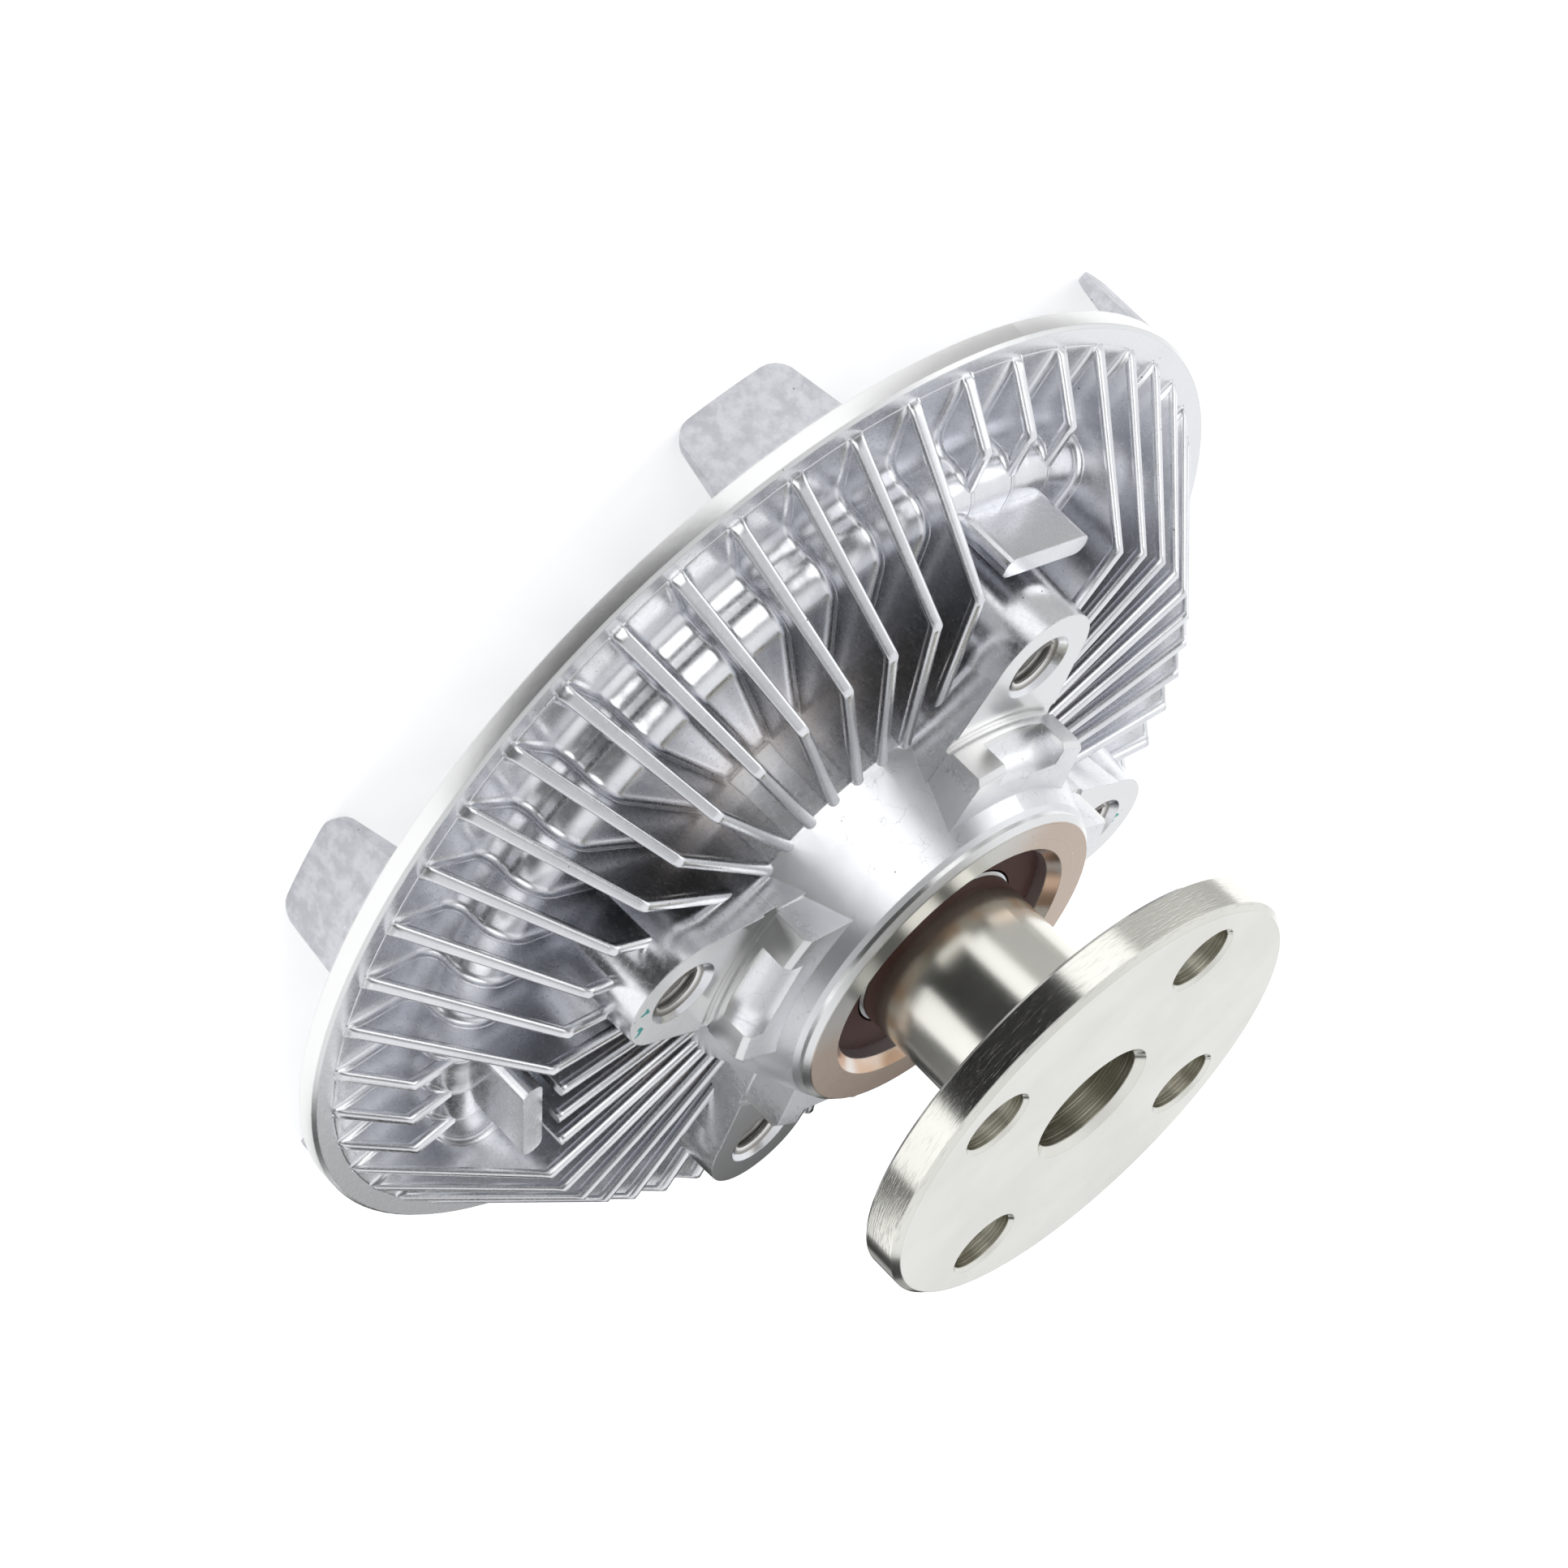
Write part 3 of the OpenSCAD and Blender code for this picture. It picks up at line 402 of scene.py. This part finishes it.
# Turned steel with a thin pale plating and fine tool marks
def plated_steel(name, tint_light, tint_dark, roughness):
    look = Look(name)
    z = look.axes(look.point)["Z"]
    path = look.math("ADD", look.radius(), z)
    marks = look.noise(4.0, 3, at=path)
    cloud = look.noise(0.06, 3)
    colour = look.mix(look.ramp(cloud, 0.3, 0.7), tint_light, tint_dark)
    rough = look.blend(marks, roughness - 0.05, roughness + 0.08)
    relief = look.bump(marks, 0.02, 0.4, look.soft_edges(0.15 * MM))
    look.set(Base_Color=colour, Metallic=1.0, Roughness=rough, Normal=relief)
    return look.material


SHAFT = ((0.84, 0.83, 0.77), (0.77, 0.76, 0.70))
TOOL_DASH = (0.50, 0.50, 0.50)
DRILLED = ((0.66, 0.64, 0.53), (0.36, 0.35, 0.29))
SHAFT_SPECK = (0.30, 0.30, 0.29)


# Turned and plated drive shaft, with tool dashes on the flange edge and drill marks in the holes
def shaft_steel(name):
    look = Look(name)
    parts = look.axes(look.point)
    z = parts["Z"]
    r = look.radius()
    up = look.math("ABSOLUTE", look.axes(look.normal)["Z"])
    upright = look.ramp(up, 0.35, 0.2)
    rings = look.noise(4.0, 3, at=look.math("ADD", r, z))
    cloud = look.noise(0.06, 3)
    colour = look.mix(look.ramp(cloud, 0.3, 0.7), *SHAFT)
    turn = look.math("ARCTAN2", parts["Y"], parts["X"])
    place = look.node("ShaderNodeCombineXYZ")
    look.put(place.inputs[0], look.math("MULTIPLY", turn, 12.0))
    look.put(place.inputs[1], look.math("MULTIPLY", z, 4.0))
    dashes = look.ramp(look.noise(1.0, 3, 0.6, at=place.outputs[0]), 0.5, 0.7)
    flange = look.math("GREATER_THAN", z, -FLANGE_T)
    dashes = look.all_of(dashes, look.math("GREATER_THAN", r, FLANGE_R - 0.4), flange)
    colour = look.mix(look.math("MULTIPLY", dashes, 0.45), colour, TOOL_DASH)
    in_flange = look.all_of(flange, look.math("LESS_THAN", r, FLANGE_R - 1))
    above_end = look.math("GREATER_THAN", z, -PILOT_DEPTH - 0.1)
    in_pilot = look.all_of(above_end, look.math("LESS_THAN", r, PILOT_R + 0.1))
    hole = look.all_of(look.math("MAXIMUM", in_flange, in_pilot), upright)
    drill = look.noise(2.6, 4, 0.7, at=z)
    colour = look.mix(hole, colour, look.mix(look.ramp(drill, 0.4, 0.62), *DRILLED))
    specks = spots(look, 0.5, 0.06, 0.08, 0.55)
    colour = look.mix(specks, colour, SHAFT_SPECK)
    rough = look.blend(rings, 0.11, 0.2)
    on_neck = look.ramp(z, -FLANGE_T - 0.2, -FLANGE_T - 0.4)
    rough = look.math("ADD", rough, look.math("MULTIPLY", on_neck, 0.05))
    rough = look.blend(hole, rough, 0.32)
    relief = look.bump(rings, 0.02, 0.2, look.soft_edges(0.2 * MM))
    relief = look.bump(dashes, -0.008, 0.4, relief)
    relief = look.bump(look.all_of(drill, hole), 0.12, 0.7, relief)
    look.set(Base_Color=colour, Metallic=1.0, Roughness=rough, Normal=relief)
    return look.material


def rubber(name, light, dark):
    look = Look(name)
    colour = look.mix(look.noise(0.8, 4), light, dark)
    relief = look.bump(look.noise(3.0, 3), 0.03, 0.4)
    look.set(Base_Color=colour, Roughness=0.55, Specular_IOR_Level=0.25, Normal=relief)
    return look.material


FINISHES = {
    "cast_aluminium": cast_aluminium("cast_aluminium"),
    "turned_aluminium": plated_steel("turned_aluminium", (0.84, 0.84, 0.85), (0.74, 0.74, 0.75), 0.3),
    "plated_steel": shaft_steel("plated_steel"),
    "bearing_steel": plated_steel("bearing_steel", (0.70, 0.71, 0.73), (0.60, 0.61, 0.63), 0.15),
    "cage_steel": plated_steel("cage_steel", (0.62, 0.56, 0.44), (0.50, 0.45, 0.36), 0.35),
    "spring_steel": plated_steel("spring_steel", (0.20, 0.20, 0.21), (0.12, 0.12, 0.13), 0.35),
    "sheet_steel": plated_steel("sheet_steel", (0.72, 0.72, 0.70), (0.62, 0.62, 0.60), 0.32),
    "bimetal": plated_steel("bimetal", (0.72, 0.54, 0.33), (0.60, 0.44, 0.28), 0.3),
    "seal_rubber": rubber("seal_rubber", (0.105, 0.028, 0.017), (0.065, 0.017, 0.011)),
    "black_rubber": rubber("black_rubber", (0.018, 0.018, 0.02), (0.008, 0.008, 0.009)),
}

for part in frame["record"]["subparts"]:
    mesh = nodes[part["node"]].data
    mesh.materials.clear()
    mesh.materials.append(FINISHES[part["material_slot"]])


def mesh_piece(name, bm, body, slot, material=None):
    mesh = bpy.data.meshes.new(name)
    bmesh.ops.recalc_face_normals(bm, faces=bm.faces)
    bm.to_mesh(mesh)
    bm.free()
    mesh.materials.append(material or FINISHES[slot])
    piece = bpy.data.objects.new(name, mesh)
    bpy.context.scene.collection.objects.link(piece)
    if body is not None:
        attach(piece, body)
    return piece


# Closed skin over rings of points in millimetres, shaded smooth on the sides that are listed
def loft(bm, rings, smooth=()):
    rings = [[bm.verts.new(point * MM) for point in ring] for ring in rings]
    count = len(rings[0])
    for one, two in zip(rings, rings[1:]):
        for side in range(count):
            after = (side + 1) % count
            face = bm.faces.new((one[side], one[after], two[after], two[side]))
            face.smooth = side in smooth
    bm.faces.new(rings[0])
    bm.faces.new(reversed(rings[-1]))


# Fan threads: one helical ridge in each boss hole
THREAD_PITCH = 1.25
THREAD_RUN = 12.5
THREAD_START = 0.45
THREAD_STEPS = 36
THREAD_BITE = 0.06
THREAD_FOOT_SHARE = 0.48
THREAD_CREST_SHARE = 0.08
THREAD_FINISH = thread_aluminium("thread_aluminium")


def fan_thread(index):
    turn = 2 * math.pi * index / BOSS_COUNT
    centre = Vector((BOSS_R * math.cos(turn), BOSS_R * math.sin(turn), PAD_Z - THREAD_START))
    foot = THREAD_R + THREAD_BITE
    crest = THREAD_R - THREAD_DEPTH
    section = (
        (foot, THREAD_FOOT_SHARE),
        (crest, THREAD_CREST_SHARE),
        (crest, -THREAD_CREST_SHARE),
        (foot, -THREAD_FOOT_SHARE),
    )
    rings = []
    for step in range(int(THREAD_STEPS * THREAD_RUN / THREAD_PITCH) + 1):
        angle = 2 * math.pi * step / THREAD_STEPS
        drop = THREAD_PITCH * step / THREAD_STEPS
        ring = []
        for r, rise in section:
            point = Vector((r * math.cos(angle), r * math.sin(angle), rise * THREAD_PITCH - drop))
            ring.append(centre + point)
        rings.append(ring)
    bm = bmesh.new()
    loft(bm, rings)
    mesh_piece(f"fan_thread_{index + 1}", bm, "housing", "cast_aluminium", THREAD_FINISH)


for boss in range(BOSS_COUNT):
    fan_thread(boss)

# Pocket skins: the smooth cast floor between two fins, with a hollow fillet along each fin's foot
FILLET_R = 1.0
FILLET_LEAST = 0.06
FILLET_RISE_SHARE = 0.55
FILLET_GAP_SHARE = 0.36
FILLET_STEPS = 6
FLOOR_STEPS = 3
FLOOR_RADII = (33.4, 34.2, 36, 39, 42, 45, 48, 50.2, 52, 54)
LEDGE_RADII = (64, 66, 68, 69.4, 70.2, 70.6)
SHOULDER_STEPS = 10
FOOT_STEPS = 8
SKIN_LIFT = 0.03
SKIN_SINK = 0.3
SKIN_END_TAPER = 0.1
FIN_PITCH = 360 / FIN_COUNT
CLEARED = 1.5 * FIN_PITCH


# Drum outline from the hub to the rim: radius, height and outward normal
def drum_stations():
    stations = [(r, DRUM_Z, 0.0, 1.0) for r in FLOOR_RADII]
    for step in range(SHOULDER_STEPS + 1):
        turn = math.radians(90 - 90 * step / SHOULDER_STEPS)
        n_r, n_z = math.cos(turn), math.sin(turn)
        r = DRUM_R - DRUM_ROUND * (1 - n_r)
        stations.append((r, DRUM_Z - DRUM_ROUND * (1 - n_z), n_r, n_z))
    for step in range(FOOT_STEPS + 1):
        turn = math.radians(90 * step / FOOT_STEPS)
        n_r, n_z = math.cos(turn), math.sin(turn)
        r = DRUM_R + DRUM_FILLET * (1 - n_r)
        stations.append((r, RIM_REAR_Z + DRUM_FILLET * (1 - n_z), n_r, n_z))
    stations += [(r, RIM_REAR_Z, 0.0, 1.0) for r in LEDGE_RADII]
    return stations


def off_nearest(angle, count):
    step = 360 / count
    return abs((angle + step / 2) % step - step / 2)


def fin_half(z):
    return FIN_HALF + (FIN_TOP_Z - z) * FIN_DRAFT


# Height of a fin over the drum at a station, and nothing where a boss or paddle takes its place
def fin_rise(index, r, z):
    at_paddle = off_nearest(index * FIN_PITCH, PADDLE_COUNT) < CLEARED
    at_boss = off_nearest(index * FIN_PITCH, BOSS_COUNT) < CLEARED
    if at_boss and r < BOSS_R:
        return 0
    low = at_paddle and (at_boss or r > FIN_STOP_R)
    slope = (FIN_TOP_Z - RIM_REAR_Z) / (FIN_TIP_R - FIN_BEND_R)
    top = min(LOW_FIN_Z if low else FIN_TOP_Z, FIN_TOP_Z - (r - FIN_BEND_R) * slope)
    return max(0, top - z)


# Points from a fin's side down its fillet to the floor, first the one hidden in the fin
def fillet_points(index, side, station, lift, taper):
    r, z, n_r, n_z = station
    rise = fin_rise(index, r, z)
    gap = 2 * math.pi * r / FIN_COUNT - 2 * fin_half(z)
    most = min(FILLET_R, FILLET_RISE_SHARE * rise, FILLET_GAP_SHARE * gap)
    size = max(FILLET_LEAST, taper * most)
    foot = fin_half(z) if rise > FILLET_LEAST else 0.0
    outline = [(foot - SKIN_SINK, size)]
    for step in range(FILLET_STEPS + 1):
        bend = math.pi / 2 * step / FILLET_STEPS
        outline.append((foot + size * (1 - math.cos(bend)), size * (1 - math.sin(bend))))
    turn = Matrix.Rotation(math.radians(index * FIN_PITCH), 3, "Z")
    points = []
    for across, height in outline + [(foot - SKIN_SINK, -SKIN_SINK)]:
        along = math.sqrt(r * r - across * across)
        raised = height if height < 0 else height + lift
        points.append(turn @ Vector((along + raised * n_r, side * across, z + raised * n_z)))
    return points


# One closed ring of points around a pocket's skin at a station
def pocket_ring(index, station, lift, taper):
    left = fillet_points(index, 1, station, lift, taper)
    right = fillet_points(index + 1, -1, station, lift, taper)
    start, end = left[-2], right[-2]
    reach = start.xy.length
    first = math.atan2(start.y, start.x)
    sweep = (math.atan2(end.y, end.x) - first) % (2 * math.pi)
    floor = []
    for step in range(1, FLOOR_STEPS):
        turn = first + sweep * step / FLOOR_STEPS
        floor.append(Vector((reach * math.cos(turn), reach * math.sin(turn), start.z)))
    return left[:-1] + floor + right[-2::-1] + [right[-1], left[-1]]


def pocket_skin(bm, index, stations):
    last = len(stations) - 1
    rings = []
    for place, station in enumerate(stations):
        at_end = place in (0, last)
        lift = -SKIN_LIFT if at_end else SKIN_LIFT
        taper = SKIN_END_TAPER if at_end else 1.0
        rings.append(pocket_ring(index, station, lift, taper))
    loft(bm, rings, range(1, len(rings[0]) - 4))


pockets = bmesh.new()
outline_of_drum = drum_stations()
for fin in range(FIN_COUNT):
    pocket_skin(pockets, fin, outline_of_drum)
mesh_piece("fin_pocket_skins", pockets, "housing", "cast_aluminium")

# Fin crowns: a smooth rounded skin over the top of each fin
FIN_ROOT_R = 26.5
FIN_NOSE_H = 0.9
FIN_NOSE_STEPS = ((0, FIN_NOSE_H), (0.27, 0.25), (0.3, -0.7))
CROWN_R = 0.645
CROWN_STEPS = 8
CROWN_SIDE = 1.0
CROWN_INSET = 0.4
CROWN_LIFT = 0.02
CROWN_BEND = 0.9
CROWN_BEND_SHARE = 0.4
STOP_INSET = 0.05


# Points of radius and height along a fin's top, with one a short way to each side of every corner
def crown_path(corners):
    corners = [Vector(corner) for corner in corners]
    points = [corners[0]]
    for start, end in zip(corners, corners[1:]):
        share = min(CROWN_BEND / (end - start).length, CROWN_BEND_SHARE)
        points += [start.lerp(end, share), end.lerp(start, share), end]
    return points


# One closed ring of points around a crown: up the right side, over the top and down the left
def crown_ring(r, z, lift):
    half = fin_half(z)
    low = z - CROWN_R - CROWN_SIDE
    right = [(half - CROWN_INSET, low), (fin_half(low) - CROWN_LIFT, low)]
    reach = CROWN_R + lift
    for step in range(CROWN_STEPS + 1):
        turn = math.pi / 2 * step / CROWN_STEPS
        across = half - CROWN_R + reach * math.cos(turn)
        right.append((across, z - CROWN_R + reach * math.sin(turn)))
    left = [(-across, height) for across, height in reversed(right)]
    return [Vector((r, across, height)) for across, height in right + left]


def fin_crown(bm, index, corners):
    turn = Matrix.Rotation(math.radians(index * FIN_PITCH), 3, "Z")
    path = crown_path(corners)
    rings = []
    for place, (r, z) in enumerate(path):
        at_end = place in (0, len(path) - 1)
        lift = -CROWN_LIFT if at_end else CROWN_LIFT
        rings.append([turn @ point for point in crown_ring(r, z, lift)])
    loft(bm, rings, range(1, len(rings[0]) - 2))


def fin_crowns():
    bm = bmesh.new()
    run = (FIN_TIP_R - FIN_BEND_R) / (FIN_TOP_Z - RIM_REAR_Z)
    root = (FIN_ROOT_R, FIN_TOP_Z)
    nose_r = FIN_TIP_R - FIN_NOSE_H * run
    nose = [(nose_r + out, RIM_REAR_Z + rise) for out, rise in FIN_NOSE_STEPS]
    low_bend = (FIN_BEND_R + (FIN_TOP_Z - LOW_FIN_Z) * run, LOW_FIN_Z)
    for index in range(FIN_COUNT):
        at_boss = off_nearest(index * FIN_PITCH, BOSS_COUNT) < CLEARED
        if off_nearest(index * FIN_PITCH, PADDLE_COUNT) < CLEARED:
            stop = (BOSS_R if at_boss else FIN_STOP_R) - STOP_INSET
            fin_crown(bm, index, (root, (stop, FIN_TOP_Z)))
            fin_crown(bm, index, ((DRUM_R - DRUM_ROUND, LOW_FIN_Z), low_bend, *nose))
        else:
            fin_crown(bm, index, (root, (FIN_BEND_R, FIN_TOP_Z), *nose))
    mesh_piece("fin_crowns", bm, "housing", "cast_aluminium")


fin_crowns()

# Bimetal coil in half turns: the first turns with the valve shaft, the last stays with the housing, and
# those between are baked in place
COIL_T = 0.9
COIL_CORE = 1.4
COIL_PITCH = 2.5
COIL_TURNS = 4.5
COIL_STEP = 6
HALF_TURN = 180
COIL_TAIL = 8
COIL_TAIL_INSET = 0.05
COIL_ODD_INSET = 0.015
coil_low, coil_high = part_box("bimetal_coil")
SHAFT_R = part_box("valve_shaft")[1].y / MM
COIL_START_R = SHAFT_R + COIL_CORE
COIL_END_R = COIL_START_R + COIL_PITCH * COIL_TURNS


# Four corners of the strip's section at a place in its own plane
def strip_corners(middle, outward, inset):
    half = outward * (COIL_T / 2 - inset)
    low = Vector((0, 0, coil_low.z / MM + inset))
    high = Vector((0, 0, coil_high.z / MM - inset))
    return [middle - half + low, middle + half + low, middle + half + high, middle - half + high]


def spiral_bar(bm, start, end, inset):
    steps = max(1, round((end - start) / COIL_STEP))
    rows = []
    for step in range(steps + 1):
        angle = start + (end - start) * step / steps
        turn = math.radians(angle)
        outward = Vector((math.cos(turn), math.sin(turn), 0))
        reach = COIL_START_R + COIL_PITCH * angle / 360
        rows.append(strip_corners(outward * reach, outward, inset))
    loft(bm, rows)


def straight_bar(bm, start_x, end_x):
    across = Vector((0, 1, 0))
    loft(bm, [strip_corners(Vector((x, 0, 0)), across, 0) for x in (start_x, end_x)])


# A piece whose place is baked into its mesh
def follow_valve(piece):
    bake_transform(piece)


def coil_piece(index, count):
    bm = bmesh.new()
    start = HALF_TURN * index
    end = start + HALF_TURN
    spiral_bar(bm, start, end, COIL_ODD_INSET * (index % 2))
    if index == 0:
        straight_bar(bm, -SHAFT_R, COIL_START_R)
    if index == count - 1:
        straight_bar(bm, coil_low.x / MM, -COIL_END_R)
    else:
        spiral_bar(bm, end - COIL_TAIL, end + COIL_TAIL, COIL_TAIL_INSET)
    body = {0: "valve", count - 1: "housing"}.get(index)
    piece = mesh_piece(f"bimetal_coil_{index + 1}", bm, body, "bimetal")
    if body is None:
        follow_valve(piece)
    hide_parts("bimetal_coil")


half_turns = round(COIL_TURNS * 360 / HALF_TURN)
for half_turn in range(half_turns):
    coil_piece(half_turn, half_turns)

# Camera at the photograph's viewing angle, rolled as the photograph is
CAMERA_AT = Vector((430.3, 559.0, 208.35)) * MM
CAMERA_RIGHT = Vector((0.40803, -0.62776, 0.66290))
CAMERA_UP = Vector((0.71340, -0.23385, -0.66059))
LENS_MM = 139.5
SENSOR_MM = 36.0


def add_camera():
    data = bpy.data.cameras.new("camera")
    data.lens = LENS_MM
    data.sensor_width = SENSOR_MM
    data.clip_start = 0.01
    data.clip_end = 20
    camera = bpy.data.objects.new("camera", data)
    bpy.context.scene.collection.objects.link(camera)
    back = CAMERA_RIGHT.cross(CAMERA_UP)
    turn = Matrix((CAMERA_RIGHT, CAMERA_UP, back)).transposed()
    camera.matrix_world = Matrix.Translation(CAMERA_AT) @ turn.to_4x4()
    bpy.context.scene.camera = camera


# Pale floor that stays white where it is lit, keeps the shadow, and is clear from below
FLOOR_HALF = 3.0
FLOOR_GREY = 0.8
FLOOR_LIFT = 0.56


def add_floor():
    mesh = bpy.data.meshes.new("floor")
    z = FLOOR_Z * MM
    corners = [(x * FLOOR_HALF, y * FLOOR_HALF, z) for x, y in ((-1, -1), (1, -1), (1, 1), (-1, 1))]
    mesh.from_pydata(corners, [], [(0, 1, 2, 3)])
    material = bpy.data.materials.new("floor")
    material.use_nodes = True
    tree = material.node_tree
    tree.nodes.clear()
    matte = tree.nodes.new("ShaderNodeBsdfDiffuse")
    matte.inputs["Color"].default_value = (FLOOR_GREY, FLOOR_GREY, FLOOR_GREY, 1)
    glow = tree.nodes.new("ShaderNodeEmission")
    path = tree.nodes.new("ShaderNodeLightPath")
    seen = tree.nodes.new("ShaderNodeMath")
    seen.operation = "MAXIMUM"
    tree.links.new(path.outputs["Is Camera Ray"], seen.inputs[0])
    tree.links.new(path.outputs["Is Glossy Ray"], seen.inputs[1])
    lift = tree.nodes.new("ShaderNodeMath")
    lift.operation = "MULTIPLY"
    lift.inputs[1].default_value = FLOOR_LIFT
    tree.links.new(seen.outputs[0], lift.inputs[0])
    tree.links.new(lift.outputs[0], glow.inputs["Strength"])
    both = tree.nodes.new("ShaderNodeAddShader")
    tree.links.new(matte.outputs[0], both.inputs[0])
    tree.links.new(glow.outputs[0], both.inputs[1])
    clear = tree.nodes.new("ShaderNodeBsdfTransparent")
    facing = tree.nodes.new("ShaderNodeNewGeometry")
    one_sided = tree.nodes.new("ShaderNodeMixShader")
    tree.links.new(facing.outputs["Backfacing"], one_sided.inputs[0])
    tree.links.new(both.outputs[0], one_sided.inputs[1])
    tree.links.new(clear.outputs[0], one_sided.inputs[2])
    output = tree.nodes.new("ShaderNodeOutputMaterial")
    tree.links.new(one_sided.outputs[0], output.inputs["Surface"])
    mesh.materials.append(material)
    floor = bpy.data.objects.new("floor", mesh)
    bpy.context.scene.collection.objects.link(floor)


LAMP_DISTANCE = 1.2


# Soft box: direction from the part, size and power
def soft_box(name, direction, size, power):
    data = bpy.data.lights.new(name, "AREA")
    data.shape = "DISK"
    data.size = size
    data.energy = power
    lamp = bpy.data.objects.new(name, data)
    bpy.context.scene.collection.objects.link(lamp)
    aim = Vector(direction).normalized()
    centre = (cad_low + cad_high) / 2
    lamp.location = centre + aim * LAMP_DISTANCE
    lamp.rotation_mode = "QUATERNION"
    lamp.rotation_quaternion = aim.to_track_quat("Z", "Y")


# Plain card that only reflections see, as a studio flag
def flag(name, corners, level):
    mesh = bpy.data.meshes.new(name)
    mesh.from_pydata([Vector(corner) * MM for corner in corners], [], [(0, 1, 2, 3)])
    material = bpy.data.materials.new(name)
    material.use_nodes = True
    tree = material.node_tree
    tree.nodes.clear()
    glow = tree.nodes.new("ShaderNodeEmission")
    glow.inputs["Color"].default_value = (level, level, level, 1)
    output = tree.nodes.new("ShaderNodeOutputMaterial")
    tree.links.new(glow.outputs[0], output.inputs["Surface"])
    mesh.materials.append(material)
    card = bpy.data.objects.new(name, mesh)
    bpy.context.scene.collection.objects.link(card)
    card.visible_camera = False
    card.visible_diffuse = False
    card.visible_shadow = False


WORLD_BRIGHT_WAY = (-0.45, -0.55, 0.7)
WORLD_RANGE = (0.03, 0.62)
WORLD_DARK = 0.16
WORLD_BRIGHT = 0.95
WORLD_TINT = (0.97, 0.98, 1.0, 1)


# World that is bright overhead and behind the part, and dark low at the sides
def add_world():
    world = bpy.data.worlds.new("studio")
    bpy.context.scene.world = world
    world.use_nodes = True
    tree = world.node_tree
    place = tree.nodes.new("ShaderNodeTexCoord")
    facing = tree.nodes.new("ShaderNodeVectorMath")
    facing.operation = "DOT_PRODUCT"
    facing.inputs[1].default_value = Vector(WORLD_BRIGHT_WAY).normalized()
    tree.links.new(place.outputs["Generated"], facing.inputs[0])
    shade = tree.nodes.new("ShaderNodeMapRange")
    shade.interpolation_type = "SMOOTHSTEP"
    levels = (*WORLD_RANGE, WORLD_DARK, WORLD_BRIGHT)
    for socket, value in zip(list(shade.inputs)[1:5], levels):
        socket.default_value = value
    tree.links.new(facing.outputs["Value"], shade.inputs[0])
    back = tree.nodes["Background"]
    back.inputs["Color"].default_value = WORLD_TINT
    tree.links.new(shade.outputs[0], back.inputs["Strength"])


# Cards lie a little above the floor, and one of them above its neighbours
CARD_LIFT = 0.6
CARD_STEP = 0.4


# Card that lies flat at one height
def flat_card(name, height, corners, level):
    flag(name, [(x, y, height) for x, y in corners], level)


# Card that stands on a line between two heights
def upright_card(name, low, high, start, end, level):
    flag(name, ((*start, low), (*end, low), (*end, high), (*start, high)), level)


def add_light():
    soft_box("key", (0.70, 0.54, 0.46), 1.1, 4.2)
    soft_box("side", (0.75, -0.55, 0.35), 0.8, 2)
    soft_box("left", (-0.7, 0.7, 0.25), 0.8, 0.7)
    low = FLOOR_Z + CARD_LIFT
    near = low + CARD_STEP
    flat_card("flag_front", low, ((83, 56), (16, 102), (-140, 640), (800, 290)), 0.02)
    flat_card("flag_right", low, ((78, -45), (97, 24), (320, -49), (60, -320)), 0.5)
    flat_card("flag_left", near, ((-57, 76), (-80, 22), (-122, 14), (-112, 84)), 0.35)
    flat_card("flag_low", low, ((-104, 130), (-124, 24), (-225, -14), (-215, 200)), 0.1)
    upright_card("flag_side", -40, 70, (-260, 60), (-200, -100), 0.04)
    upright_card("flag_back", low, 28, (-146, -84), (-98, -132), 0.02)
    upright_card("flag_back_end", low, 28, (-172, -58), (-146, -84), 0.4)
    flat_card("flag_under", low, ((-84, 36), (-62, -66), (-260, -420), (-470, -110)), 0.03)
    add_world()


add_camera()
add_floor()
add_light()
bpy.context.scene.view_settings.view_transform = "Standard"
